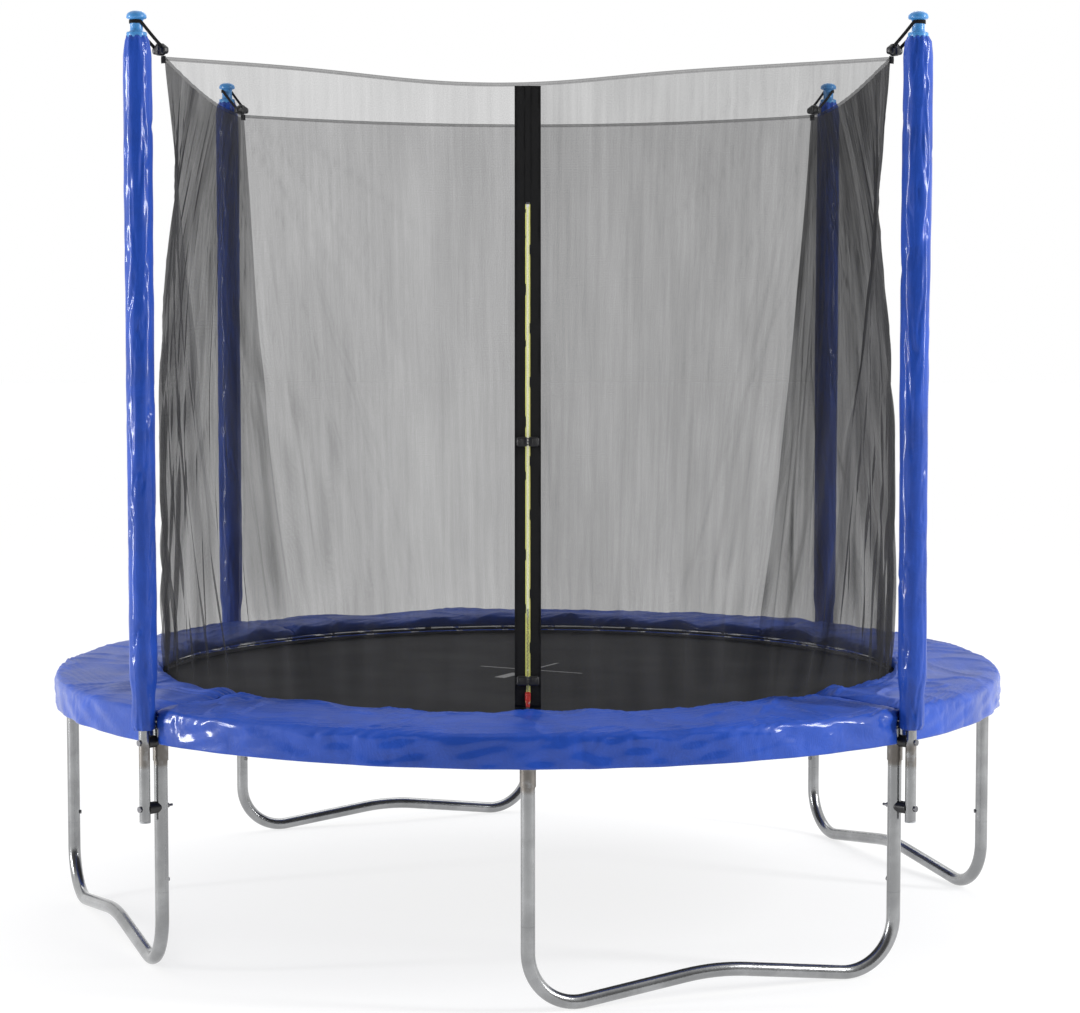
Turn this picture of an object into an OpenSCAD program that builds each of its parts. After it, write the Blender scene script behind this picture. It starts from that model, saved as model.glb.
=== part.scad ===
// Round garden trampoline with a zipped safety net on four padded poles.
// The origin is on the ground under the centre of the mat, +Z is up and the door faces -Y.

/* [Frame] */
// Radius of the top ring, to the centre of its tube
ring_r = 1200; // [1150:10:1250]
// Height of the top ring's tube centre above the ground
ring_z = 585; // [560:5:640]
// Outer diameter of the ring and leg tubes
tube_d = 32; // [28:1:34]
// Wall thickness of all the steel tubes
tube_wall = 1.5; // [1:0.25:2]
// Height of the joint between a leg base and its two uprights
leg_joint_z = 195; // [180:5:240]
// Centreline radius of the bend at each end of a leg base
leg_bend_r = 120; // [90:5:130]
// Slope of a leg base towards its raised middle, in degrees
leg_slope = 7.3; // [4:0.1:8]

/* [Enclosure poles] */
// Distance of the poles from the centre of the mat
pole_r = 1246; // [1244:1:1250]
// Outer diameter of the pole tubes
pole_d = 25.4; // [22:0.2:26]
// Height of the pole's lower end
pole_bottom = 366; // [340:2:380]
// Height of the pole's upper end
pole_top = 2162; // [2000:2:2200]
// Outer diameter of the foam sleeves
sleeve_d = 60; // [54:1:60]
// Height of the sleeve's lower end
sleeve_bottom = 579; // [579:1:600]

/* [Jumping mat] */
// Radius of the mat with its hem
mat_r = 1012; // [980:2:1015]
// Number of springs
spring_count = 48; // [32:16:48]
// Outer diameter of a spring's coil
spring_d = 20; // [16:1:22]

/* [Pad] */
// Radius of the pad's inner edge
pad_inner_r = 950; // [948:1:960]
// Radius of the pad's outer skirt
pad_outer_r = 1225; // [1224:0.5:1227]
// Height of the lower edge of the skirt
skirt_z = 543; // [520:1:560]

/* [Net] */
// Radius of the net where it meets the pad
net_bottom_r = 946; // [940:1:946]
// Distance of the top hem from the centre at the middle of a side
net_top_mid = 810; // [790:5:840]
// Distance of a top corner of the net from the centre
net_top_corner = 1168; // [1120:1:1172]
// Height of the top corners of the net
net_top_z = 2106; // [2000:2:2108]
// Sag of the top hem on each side
hem_sag = 28; // [20:1:60]
// Extra sag of the top hem over the door
door_sag = 28; // [0:1:40]
// How far the net's sides stand out from the straight line below the hem
net_bulge = 54; // [0:1:60]
// Height of the top of the zip
zip_top_z = 1780; // [1500:10:1850]
// Width of the black tape on the door
door_band_w = 60; // [50:1:70]

/* [Hidden] */
// Smooth circles and smooth small circles
$fn = 64;
SMALL = 32;
// Running clearance between parts that slide or plug together
slip = 0.3;
// Overshoot of the cutting shapes
cut = 1;
tube_r = tube_d / 2;
bore_r = tube_r - tube_wall;
spigot_r = bore_r - 0.2;
spigot_bore_r = spigot_r - 1.2;
collar_len = 4;
// Welds inside the tubes, where two lengths meet with a seam between them
weld_r = bore_r + 0.5;
weld_bore_r = spigot_bore_r + 0.4;
seam = 0.02;

// Leg positions: eight uprights, four of them with a pole outside
leg_step = 45;
rail_half = leg_step / 2;
rail_gap = 0.01;
pole_angles = [45, 135, 225, 315];
leg_mid_angles = [22.5, 112.5, 202.5, 292.5];
chord_half = ring_r * sin(rail_half);
chord_dist = ring_r * cos(rail_half);

// Leg base: the end bend's centre, the bend's lower end and the start of the raised middle
crest_r = 600;
by = chord_half - leg_bend_r;
bz = tube_r + leg_bend_r;
ye = by - leg_bend_r * sin(leg_slope);
ze = bz - leg_bend_r * cos(leg_slope);
ys = crest_r * sin(leg_slope);
zs = ze + (ye - ys) * tan(leg_slope);

// Sockets welded under the ring
socket_r = 18;
socket_bore_r = tube_r + slip;
socket_bottom = 503;
socket_bore_top = 562;
socket_top = 578;
upright_top = 556;

// Fasteners
bolt_r = 3;
bolt_hole_r = 3.3;
bolt_zs = [395, 549];
bolt_tip = 1168;
bolt_head_r = 7;
screw_r = 2.4;
screw_z = leg_joint_z + 27;
spigot_len = 60;

// Poles
pole_r2 = pole_d / 2;
pole_bore_r = pole_r2 - tube_wall;
pole_split = 1250;
pole_spigot = 60;
sleeve_r = sleeve_d / 2;
sleeve_top = 2155;
cap_top = 2212;
cap_collar_r = 23;
cap_neck_r = 14.5;
cap_neck_z = 2184;

// Mat and springs
mat_z = 583;
mat_t = 3;
hem_t = 6;
hem_w = 37;
hook_r = 1.6;
ring_wire_r = 2;
v_ring_apex = mat_r + 20;
coil_start = 1052;
coil_end = 1158;
hook_end = ring_r - bore_r + 3;

// Pad cover section: skirt, crown and inner edge, as radius and height
pad_under_z = 604;
skin = 2;
pad_crown_z = 634;
notch_r = sleeve_r + 1;

// Net
net_t = 2;
net_base_z = 640;
net_low_z = 601;
net_rows = 8;
net_span = net_top_z - net_base_z;
door_slope = atan((net_bottom_r - net_top_mid) / net_span);
door_half = 0.72;
door_top_z = net_top_z - hem_sag - door_sag;
door_len = (door_top_z - net_base_z) / cos(door_slope);
tape_in = 3.6;
tape_back = -1.3;
tape_front = -3.1;
slider_z = 664;
buckle_zs = [700, 1240];

// ---------- shared shapes ----------

// A copy of the children at each angle round the centre
module at_angles(angles) {
    for (a = angles) rotate([0, 0, a]) children();
}

// A straight tube, or a rod where the bore is 0, from z0 to z1
module pipe(r, bore, z0, z1) {
    translate([0, 0, z0]) difference() {
        cylinder(r = r, h = z1 - z0);
        if (bore > 0) translate([0, 0, -cut]) cylinder(r = bore, h = z1 - z0 + 2 * cut);
    }
}

// A rod along X from x0 to x1
module rod_x(r, x0, x1) {
    translate([x0, 0, 0]) rotate([0, 90, 0]) cylinder(r = r, h = x1 - x0);
}

// A length of the top ring: a tube bent about the centre, from angle a0 to a1
module ring_tube(r, bore, a0, a1) {
    translate([0, 0, ring_z]) rotate([0, 0, a0])
        rotate_extrude(angle = a1 - a0) translate([ring_r, 0]) difference() {
            circle(r = r);
            if (bore > 0) circle(r = bore);
        }
}

// ---------- steel frame ----------

// One eighth of the ring with its leg socket, spring holes and swaged end
module top_rail(k) {
    has_pole = k % 2 == 1;
    spring_step = 360 / spring_count;
    swage_len = 3;
    collar_deg = 0.2;
    a1 = rail_half - rail_gap;
    color([0.68, 0.69, 0.71]) rotate([0, 0, k * leg_step]) {
        difference() {
            union() {
                ring_tube(tube_r, 0, -a1, a1);
                translate([ring_r, 0, 0]) pipe(socket_r, 0, socket_bottom, socket_top);
            }
            ring_tube(bore_r, 0, -rail_half - 1, rail_half + 1);
            translate([ring_r, 0, 0]) pipe(socket_bore_r, 0, socket_bottom - cut, socket_bore_top);
            for (a = [-rail_half + spring_step / 2 : spring_step : rail_half])
                rotate([0, 0, a]) translate([0, 0, ring_z]) rod_x(bolt_r, ring_r - tube_r - 4, ring_r - 5);
            if (has_pole)
                translate([0, 0, bolt_zs[1]]) rod_x(bolt_hole_r, ring_r - 2 * socket_r, ring_r + 2 * socket_r);
        }
        ring_tube(weld_r, weld_bore_r, a1 - collar_deg, a1 - collar_deg / 4);
        ring_tube(spigot_r, spigot_bore_r, a1 - 1.2 * collar_deg, a1 + swage_len);
    }
}

// A tube bend standing in the YZ plane: a0 and a1 are measured from +Y towards +Z
module leg_bend(bend_r, y, z, a0, a1) {
    translate([0, y, z]) rotate([90, 0, 90]) rotate([0, 0, a0])
        rotate_extrude(angle = a1 - a0) translate([bend_r, 0]) difference() {
            circle(r = tube_r);
            circle(r = bore_r);
        }
}

// A short weld inside the tube, centred on the origin and along Z, that joins two lengths
module inner_weld() {
    pipe(weld_r, bore_r - 0.4, -3, 3);
}

// One side of a leg base, from the raised middle to the top of its swaged end
module leg_base_half() {
    run = (ye - ys) / cos(leg_slope);
    translate([0, ys, zs]) rotate([-90 - leg_slope, 0, 0]) {
        pipe(tube_r, bore_r, seam, run - seam);
        inner_weld();
        translate([0, 0, run]) inner_weld();
    }
    leg_bend(leg_bend_r, by, bz, -90 - leg_slope, 0);
    translate([0, chord_half, bz]) inner_weld();
    translate([0, chord_half, 0]) difference() {
        union() {
            pipe(tube_r, bore_r, bz + seam, leg_joint_z);
            pipe(weld_r, weld_bore_r, leg_joint_z - collar_len, leg_joint_z - 1);
            pipe(spigot_r, spigot_bore_r, leg_joint_z - collar_len - 1, leg_joint_z + spigot_len);
        }
        rotate([0, 0, rail_half]) translate([0, 0, screw_z]) rod_x(screw_r + slip, -tube_r, 0);
    }
}

// The floor tube of one leg: a raised middle, two slopes and a bend up at both ends
module leg_base(k) {
    color([0.68, 0.69, 0.71]) rotate([0, 0, leg_mid_angles[k - 1]]) translate([chord_dist, 0, 0]) {
        leg_bend(crest_r, 0, zs - crest_r * cos(leg_slope), 90 - leg_slope, 90 + leg_slope);
        leg_base_half();
        mirror([0, 1, 0]) leg_base_half();
    }
}

// One upright at angle 0, with the bolt holes of a pole where it carries one
module upright(has_pole) {
    translate([ring_r, 0, 0]) difference() {
        pipe(tube_r, bore_r, leg_joint_z + slip, upright_top);
        translate([0, 0, screw_z]) rod_x(screw_r + slip, -2 * tube_r, 0);
        if (has_pole) for (z = bolt_zs) translate([0, 0, z]) rod_x(bolt_hole_r, -2 * tube_r, 2 * tube_r);
    }
}

// The two uprights of one leg, one plain and one that carries a pole
module leg_uprights(k) {
    a = leg_mid_angles[k - 1];
    color([0.70, 0.71, 0.73]) {
        rotate([0, 0, a + rail_half]) upright(true);
        rotate([0, 0, a - rail_half]) upright(false);
    }
}

module leg_screws() {
    head_r = 5;
    head_h = 3.5;
    color([0.20, 0.20, 0.22]) at_angles([for (k = [0 : 7]) k * leg_step])
        translate([ring_r - tube_r, 0, screw_z]) {
            rod_x(head_r, -head_h - 0.1, -0.1);
            rod_x(screw_r, -0.1, 8);
        }
}

// ---------- enclosure poles ----------

module pole_lower(k) {
    color([0.74, 0.75, 0.77]) rotate([0, 0, pole_angles[k - 1]]) translate([pole_r, 0, 0]) difference() {
        pipe(pole_r2, pole_bore_r, pole_bottom, pole_split);
        for (z = bolt_zs) translate([0, 0, z]) rod_x(bolt_hole_r, -pole_d, pole_d);
    }
}

module pole_upper(k) {
    color([0.74, 0.75, 0.77]) rotate([0, 0, pole_angles[k - 1]]) translate([pole_r, 0, 0]) {
        pipe(pole_r2, pole_bore_r, pole_split + slip, pole_top);
        pipe(pole_bore_r + 0.5, pole_bore_r - 1.6, pole_split + slip, pole_split + slip + collar_len);
        pipe(pole_bore_r - 0.3, pole_bore_r - 1.6, pole_split - pole_spigot, pole_split + slip + collar_len);
    }
}

module pole_foams() {
    color([0.90, 0.90, 0.88]) at_angles(pole_angles) translate([pole_r, 0, 0])
        pipe(sleeve_r - 2, pole_r2 + slip, sleeve_bottom + 4, sleeve_top - 7);
}

module pole_sleeve(k) {
    color([0.13, 0.30, 0.78]) rotate([0, 0, pole_angles[k - 1]]) translate([pole_r, 0, 0])
        pipe(sleeve_r, sleeve_r - 1.7, sleeve_bottom, sleeve_top);
}

// Mushroom caps: a collar, a neck that holds the net's strap, and a domed head
module pole_caps() {
    collar_z = sleeve_top - 5;
    neck_z = cap_neck_z - 20;
    head_z = cap_neck_z + 10;
    dome = [for (a = [0 : 15 : 90]) [cap_collar_r * sin(90 - a), head_z + 6 + (cap_top - head_z - 6) * sin(a)]];
    color([0.40, 0.66, 0.90]) at_angles(pole_angles) translate([pole_r, 0, 0]) rotate_extrude()
        polygon(concat(
            [[pole_r2 + 0.2, collar_z], [cap_collar_r, collar_z], [cap_collar_r, neck_z],
             [cap_neck_r, neck_z], [cap_neck_r, head_z], [cap_collar_r, head_z]],
            dome,
            [[0, pole_top + 1], [pole_r2 + 0.2, pole_top + 1]]));
}

module pole_end_plugs() {
    color([0.55, 0.56, 0.58]) at_angles(pole_angles) translate([pole_r, 0, 0]) {
        pipe(pole_r2, 0, pole_bottom - 3.3, pole_bottom - slip);
        pipe(pole_bore_r - slip, 0, pole_bottom - slip, pole_bottom + 17);
    }
}

// Black saddles that keep a pole off its upright
module pole_spacers() {
    spacer_r = 14;
    color([0.06, 0.06, 0.07]) at_angles(pole_angles) for (z = bolt_zs) {
        leg_r = z > socket_bottom ? socket_r : tube_r;
        difference() {
            translate([0, 0, z]) rod_x(spacer_r, ring_r + 5, pole_r - 6);
            translate([ring_r, 0, 0]) pipe(leg_r + 0.2, 0, z - 20, z + 20);
            translate([pole_r, 0, 0]) pipe(pole_r2 + 0.2, 0, z - 20, z + 20);
            translate([0, 0, z]) rod_x(bolt_hole_r, ring_r, pole_r);
        }
    }
}

// Through bolts from the pole's outer side, each with a hexagon nut inside the ring
module pole_bolts() {
    head_h = 4;
    nut_h = 5;
    nut_r = 5.8;
    color([0.22, 0.22, 0.24]) at_angles(pole_angles) for (z = bolt_zs) translate([0, 0, z]) {
        leg_r = z > socket_bottom ? socket_r : tube_r;
        nut_x = ring_r - leg_r - nut_h - 0.2;
        rod_x(bolt_r, bolt_tip, pole_r + pole_r2 + 0.2);
        rod_x(bolt_head_r, pole_r + pole_r2 + 0.2, pole_r + pole_r2 + 0.2 + head_h);
        difference() {
            translate([nut_x, 0, 0]) rotate([0, 90, 0]) cylinder(r = nut_r, h = nut_h, $fn = 6);
            rod_x(bolt_r + 0.1, nut_x - cut, nut_x + nut_h + cut);
        }
    }
}

// ---------- mat and springs ----------

// A woven disc whose edge is pressed thinner where the hem grips it
module jump_mat() {
    half = mat_t / 2;
    edge = half - 0.2;
    open_r = mat_r - hem_w - slip;
    grip_r = mat_r - 8;
    color([0.10, 0.10, 0.11]) translate([0, 0, mat_z]) rotate_extrude() polygon([
        [0, -half], [open_r, -half], [open_r, -edge], [grip_r, -edge],
        [grip_r, edge], [open_r, edge], [open_r, half], [0, half]]);
}

// Folded webbing round the mat's edge: a ring with a slot that holds the mat
module mat_hem() {
    half = hem_t / 2;
    slot = mat_t / 2 + 0.1;
    inner = mat_r - hem_w;
    color([0.07, 0.07, 0.08]) translate([0, 0, mat_z]) rotate_extrude() polygon([
        [inner, slot], [inner, half], [mat_r, half], [mat_r, -half], [inner, -half],
        [inner, -slot], [mat_r - 3.6, -slot], [mat_r - 3.6, slot]]);
}

spring_angles = [for (k = [0 : spring_count - 1]) (k + 0.5) * 360 / spring_count];

// Wire triangles sewn into the hem, one for each spring
module v_rings() {
    color([0.72, 0.73, 0.75]) at_angles(spring_angles) translate([0, 0, mat_z - ring_wire_r])
        linear_extrude(2 * ring_wire_r) difference() {
            polygon([[mat_r - 6, -20], [mat_r - 6, 20], [v_ring_apex, 3], [v_ring_apex, -3]]);
            polygon([[mat_r - 2, -14.5], [mat_r - 2, 14.5], [v_ring_apex - 4, 1.5], [v_ring_apex - 4, -1.5]]);
        }
}

// Coil springs as tubes of the coil's outer size, with a wire at each end
module springs() {
    color([0.72, 0.73, 0.75]) at_angles(spring_angles) translate([0, 0, ring_z]) {
        rotate([0, 90, 0]) pipe(spring_d / 2, spring_d / 2 - 2, coil_start, coil_end);
        rod_x(spring_d / 2 - 1, coil_start - 2, coil_start);
        rod_x(spring_d / 2 - 1, coil_end, coil_end + 2);
        rod_x(hook_r, v_ring_apex + slip, coil_start - 2);
        rod_x(hook_r, coil_end + 2, hook_end);
    }
}

// ---------- safety pad ----------

function pad_outer() = [
    [pad_outer_r - 3.2, skirt_z], [pad_outer_r, skirt_z], [pad_outer_r, 608],
    [pad_outer_r - 3, 616], [pad_outer_r - 10, 621], [1085, 630], [pad_inner_r + 14, pad_crown_z],
    [pad_inner_r + 4, pad_crown_z - 3], [pad_inner_r, 623], [pad_inner_r, 612],
    [pad_inner_r + 5, pad_under_z], [pad_outer_r - 3.2, pad_under_z]];

function pad_inside() = [
    [pad_outer_r - 5, pad_under_z + skin], [pad_outer_r - 5, 612], [pad_outer_r - 12, 618],
    [1085, 627.5], [pad_inner_r + 16, pad_crown_z - 2.5], [pad_inner_r + 6, 628],
    [pad_inner_r + 3, 621], [pad_inner_r + 3, 612], [pad_inner_r + 7, pad_under_z + skin]];

function pad_foam() = [
    [pad_outer_r - 5.6, pad_under_z + skin + 0.5], [pad_outer_r - 5.6, 611.5], [pad_outer_r - 12.4, 617.4],
    [1085, 627], [pad_inner_r + 16, pad_crown_z - 3.1], [pad_inner_r + 6.5, 627.5],
    [pad_inner_r + 3.6, 621], [pad_inner_r + 3.6, 612.3], [pad_inner_r + 7.3, pad_under_z + skin + 0.5]];

// One quarter of the ring pad's cover, notched round the poles at its two ends
module pad_section(k) {
    a0 = pole_angles[k - 1] + 0.03;
    color([0.16, 0.34, 0.80]) difference() {
        rotate([0, 0, a0]) rotate_extrude(angle = 89.94) difference() {
            polygon(pad_outer());
            polygon(pad_inside());
        }
        at_angles([a0, a0 + 90]) translate([pole_r, 0, 0]) pipe(notch_r, 0, skirt_z - 10, pad_crown_z + 10);
    }
}

module pad_foams() {
    color([0.90, 0.90, 0.86]) for (a = pole_angles) rotate([0, 0, a + 1.8])
        rotate_extrude(angle = 86.4) polygon(pad_foam());
}

// Elastic loops that hold the pad to the ring
module pad_ties() {
    tie_w = 18;
    tie_bore = tube_r + 0.4;
    tie_r = 18.7;
    color([0.08, 0.08, 0.09]) at_angles([for (k = [0 : 7], s = [-1, 1]) k * leg_step + s * 15])
        translate([ring_r, tie_w / 2, ring_z]) rotate([90, 0, 0]) difference() {
            cylinder(r = tie_r, h = tie_w);
            translate([0, 0, -cut]) cylinder(r = tie_bore, h = tie_w + 2 * cut);
        }
}

// ---------- safety net ----------

// Angle from the middle of the nearest side, and how near a direction is to the door
function side_angle(a) = a - 90 * round(a / 90);
function door_near(a) = pow(max(0, cos(2 * min(45, abs(a + 90)))), 2);
function top_edge(a) = let (u = tan(side_angle(a))) net_top_z - (hem_sag + door_sag * door_near(a)) * (1 - u * u);

// The net is round at the pad and square at the top hem.
// Its sides bulge a little below the hem, except at the door, which is straight.
function net_r(a, z) =
    let (t = max(0, (z - net_base_z) / net_span),
         bulge = net_bulge * (t - pow(t, 3)) / 0.385,
         mid = net_bottom_r - (net_bottom_r - net_top_mid) * t + bulge * (1 - door_near(a)),
         corner = net_bottom_r + (net_top_corner - net_bottom_r) * (t + 0.1 * sin(180 * t)),
         w = (1 / cos(side_angle(a)) - 1) / (sqrt(2) - 1))
    mid + (corner - mid) * w;

function net_z(a, i) = i == 0 ? net_low_z : net_base_z + (top_edge(a) - net_base_z) * (i - 1) / (net_rows - 1);

function net_point(a, i, off) =
    let (z = net_z(a, i), r = net_r(a, z) + off)
    [r * cos(a), r * sin(a), z];

// A thin closed panel of net between two directions
module net_panel(a0, a1, cols) {
    c = cols + 1;
    n = c * (net_rows + 1);
    pts = [for (s = [1, -1], i = [0 : net_rows], j = [0 : cols])
        net_point(a0 + (a1 - a0) * j / cols, i, s * net_t / 2)];
    outer = [for (i = [0 : net_rows - 1], j = [0 : cols - 1])
        let (p = i * c + j) each [[p, p + c, p + 1], [p + 1, p + c, p + c + 1]]];
    inner = [for (f = outer) [f[0] + n, f[2] + n, f[1] + n]];
    low = [for (j = [0 : cols - 1]) each [[j, j + 1, j + n], [j + 1, j + 1 + n, j + n]]];
    high = [for (j = [0 : cols - 1]) let (p = n - c + j) each [[p, p + n, p + 1], [p + 1, p + n, p + 1 + n]]];
    left = [for (i = [0 : net_rows - 1]) let (p = i * c) each [[p, p + n, p + c], [p + c, p + n, p + c + n]]];
    right = [for (i = [0 : net_rows - 1])
        let (p = i * c + cols) each [[p, p + c, p + n], [p + c, p + c + n, p + n]]];
    polyhedron(points = pts, faces = concat(outer, inner, low, high, left, right));
}

corner_gap = 0.02;
module net_front_left() { color([0.16, 0.16, 0.18, 0.6]) net_panel(-135 + corner_gap, -90 - door_half, 9); }
module net_front_right() { color([0.16, 0.16, 0.18, 0.6]) net_panel(-90 + door_half, -45 - corner_gap, 9); }
module net_right() { color([0.14, 0.14, 0.16, 0.6]) net_panel(-45 + corner_gap, 45 - corner_gap, 18); }
module net_back() { color([0.16, 0.16, 0.18, 0.6]) net_panel(45 + corner_gap, 135 - corner_gap, 18); }
module net_left() { color([0.14, 0.14, 0.16, 0.6]) net_panel(135 + corner_gap, 225 - corner_gap, 18); }

// Tape round the top edge of the net, just above the panels
module net_top_hem() {
    segs = 72;
    tape_t = 3;
    tape_h = 9;
    section = [[-tape_t / 2, 0.3], [tape_t / 2, 0.3], [tape_t / 2, tape_h], [-tape_t / 2, tape_h]];
    pts = [for (k = [0 : segs - 1], q = section)
        let (b = -90 + k * 360 / segs, a = b > 180 ? b - 360 : b, z = top_edge(a), r = net_r(a, z) + q[0])
        [r * cos(a), r * sin(a), z + q[1]]];
    faces = [for (k = [0 : segs - 1], q = [0 : 3])
        let (p = k * 4 + q, e = k * 4 + (q + 1) % 4, m = segs * 4)
        each [[p, (p + 4) % m, e], [e, (p + 4) % m, (e + 4) % m]]];
    color([0.20, 0.20, 0.22]) polyhedron(points = pts, faces = faces);
}

// The net's hem under the pad, which hooks on the mat's rings
module net_skirt() {
    color([0.12, 0.12, 0.13]) pipe(v_ring_apex, net_bottom_r - 1, net_low_z - 3, net_low_z - 0.8);
}

// ---------- door ----------

// Places a piece on the door's centre line at height z: x right, -y outwards, z along the zip
module on_door(z) {
    translate([0, -net_bottom_r + tan(door_slope) * (z - net_base_z), z]) rotate([-door_slope, 0, 0]) children();
}

// Side view of a door tape, as y and height: upright inside the pad, then along the slope of the door
function tape_side(low_z, len) =
    let (c = cos(door_slope), s = sin(door_slope), f = tape_front, b = tape_back)
    [[f, low_z - net_base_z], [f * c, -f * s], [f * c + len * s, len * c - f * s],
     [b * c + len * s, len * c - b * s], [b * c, -b * s], [b, low_z - net_base_z]];

// Two webbing tapes with the short straps of the buckles on them, sewn together above the zip
module door_tapes() {
    strap_t = 1.6;
    strap_w = 18;
    strap_y = buckle_y + buckle_t + slip;
    half = door_band_w / 2;
    tape_t = tape_back - tape_front;
    join_z = zip_top_z + 4;
    join_len = (door_top_z - join_z) / cos(door_slope) - 4;
    color([0.05, 0.05, 0.06]) {
        for (s = [0, 1]) mirror([s, 0, 0]) {
            translate([tape_in, -net_bottom_r, net_base_z]) rotate([90, 0, 90])
                linear_extrude(half - tape_in) polygon(tape_side(net_low_z + 3, door_len - 4));
            for (z = buckle_zs) on_door(z)
                translate([half - 9, strap_y, -strap_w / 2]) cube([strap_t, tape_front + 0.3 - strap_y, strap_w]);
        }
        on_door(join_z) translate([-tape_in - 1, tape_front + 0.2, 0])
            cube([2 * tape_in + 2, tape_t - 0.4, join_len]);
    }
}

// The two rows of zip teeth, with the slit that the slider's wedge runs in
module zip_teeth() {
    row_in = 0.7;
    row_out = 3.4;
    start = slider_z - 14;
    len = (zip_top_z - start) / cos(door_slope);
    color([0.84, 0.87, 0.58]) for (s = [0, 1]) mirror([s, 0, 0])
        on_door(start) translate([row_in, -3.6, 0]) cube([row_out - row_in, 2.4, len]);
}

slider_len = 22;
pull_pin_z = 5;
pull_pin_y = -7.4;

// Slider: a plate on each side of the teeth, joined by a thin wedge, with two lugs and a pin
module zip_slider() {
    half_w = 6.5;
    lug_w = 1.6;
    color([0.75, 0.12, 0.10]) on_door(slider_z) {
        translate([-half_w, -5.6, -slider_len / 2]) cube([2 * half_w, 1.6, slider_len]);
        translate([-half_w, -0.8, -slider_len / 2]) cube([2 * half_w, 1.8, slider_len]);
        translate([-0.35, -4.1, -4]) cube([0.7, 3.4, 8]);
        for (x = [-half_w + 1, half_w - 1 - lug_w])
            translate([x, -8.6, pull_pin_z - 2.5]) cube([lug_w, 3.1, 5]);
        translate([0, pull_pin_y, pull_pin_z]) rod_x(0.8, -half_w + 1, half_w - 1);
    }
}

// Pull tab that swings on the slider's pin
module zip_pull() {
    tab_w = 6.4;
    tab_len = 30;
    color([0.80, 0.14, 0.12]) on_door(slider_z) difference() {
        union() {
            translate([0, pull_pin_y, pull_pin_z]) rod_x(1.5, -tab_w / 2, tab_w / 2);
            translate([-tab_w / 2, pull_pin_y - 0.9, pull_pin_z - tab_len]) cube([tab_w, 1.8, tab_len]);
        }
        translate([0, pull_pin_y, pull_pin_z]) rod_x(1, -tab_w, tab_w);
    }
}

buckle_y = -18;
buckle_t = 8.6;
buckle_h = 22;
buckle_half = 25;
prong_len = 16;

// Left halves of the two door buckles: a hollow housing, open to the right
module door_buckle_sockets() {
    wall = 1.8;
    color([0.04, 0.04, 0.05]) for (z = buckle_zs) on_door(z) difference() {
        translate([-buckle_half, buckle_y, -buckle_h / 2]) cube([buckle_half - slip, buckle_t, buckle_h]);
        translate([-prong_len - 2, buckle_y + wall, -buckle_h / 2 + wall])
            cube([prong_len + 3, buckle_t - 2 * wall, buckle_h - 2 * wall]);
        for (s = [-1, 1]) translate([-14, buckle_y - cut, s * buckle_h / 2 - 3])
            cube([9, buckle_t + 2 * cut, 6]);
    }
}

// Right half of a door buckle: a bar with two sprung prongs and a guide
module door_clip(z) {
    prong_t = 4.4;
    color([0.04, 0.04, 0.05]) on_door(z) {
        translate([0, buckle_y, -buckle_h / 2]) cube([buckle_half, buckle_t, buckle_h]);
        translate([-prong_len, buckle_y + 2.1, -1.5]) cube([prong_len + 1, prong_t, 3]);
        for (s = [-1, 1]) translate([-prong_len, buckle_y + 2.1, s * 7.2 - 1.5])
            cube([prong_len + 1, prong_t, 3]);
    }
}
module door_clip_top() { door_clip(buckle_zs[1]); }
module door_clip_bottom() { door_clip(buckle_zs[0]); }

// ---------- corner fixings of the net ----------

strap_z = cap_neck_z + 3;
strap_drop = 42;
strap_len = 90;
strap_w = 8;
buckle_r = 1180;

// A loop of strap round each cap's neck with two runs down to the buckle, and a tab outside the net's corner
module net_straps() {
    strap_t = 1.8;
    ring_in = 15;
    tab_w = 16;
    color([0.05, 0.05, 0.06]) at_angles(pole_angles) {
        translate([pole_r, 0, strap_z - strap_w / 2]) rotate([0, 0, -90])
            rotate_extrude(angle = 180) translate([ring_in, 0]) square([strap_t, strap_w]);
        for (s = [0, 1]) mirror([0, s, 0]) translate([pole_r, ring_in, strap_z]) rotate([0, -strap_drop, 0])
            translate([-strap_len, 0, -strap_w / 2]) cube([strap_len, strap_t, strap_w]);
        translate([net_top_corner + 2.5, -tab_w / 2, net_top_z - 6]) cube([2, tab_w, 15.8]);
    }
}

// Moulded buckles at the net's corners, slotted for the two runs of strap
module strap_buckles() {
    w = 42;
    slot_w = strap_w + 0.8;
    color([0.04, 0.04, 0.05]) at_angles(pole_angles) difference() {
        translate([buckle_r - 11, -w / 2, net_top_z + 10]) cube([22, w, 28]);
        for (s = [0, 1]) mirror([0, s, 0])
            translate([pole_r, 14.6, strap_z]) rotate([0, -strap_drop, 0])
                translate([-strap_len - 30, 0, -slot_w / 2]) cube([strap_len + 30, 2.6, slot_w]);
    }
}

// ---------- output ----------

top_rail(1);  // top_rail_1
top_rail(2);  // top_rail_2
top_rail(3);  // top_rail_3
top_rail(4);  // top_rail_4
top_rail(5);  // top_rail_5
top_rail(6);  // top_rail_6
top_rail(7);  // top_rail_7
top_rail(8);  // top_rail_8
leg_base(1);  // leg_base_1
leg_base(2);  // leg_base_2
leg_base(3);  // leg_base_3
leg_base(4);  // leg_base_4
leg_uprights(1);  // leg_uprights_1
leg_uprights(2);  // leg_uprights_2
leg_uprights(3);  // leg_uprights_3
leg_uprights(4);  // leg_uprights_4
pole_lower(1);  // pole_lower_1
pole_lower(2);  // pole_lower_2
pole_lower(3);  // pole_lower_3
pole_lower(4);  // pole_lower_4
pole_upper(1);  // pole_upper_1
pole_upper(2);  // pole_upper_2
pole_upper(3);  // pole_upper_3
pole_upper(4);  // pole_upper_4
pole_sleeve(1);  // pole_sleeve_1
pole_sleeve(2);  // pole_sleeve_2
pole_sleeve(3);  // pole_sleeve_3
pole_sleeve(4);  // pole_sleeve_4
pad_section(1);  // pad_section_1
pad_section(2);  // pad_section_2
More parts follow.
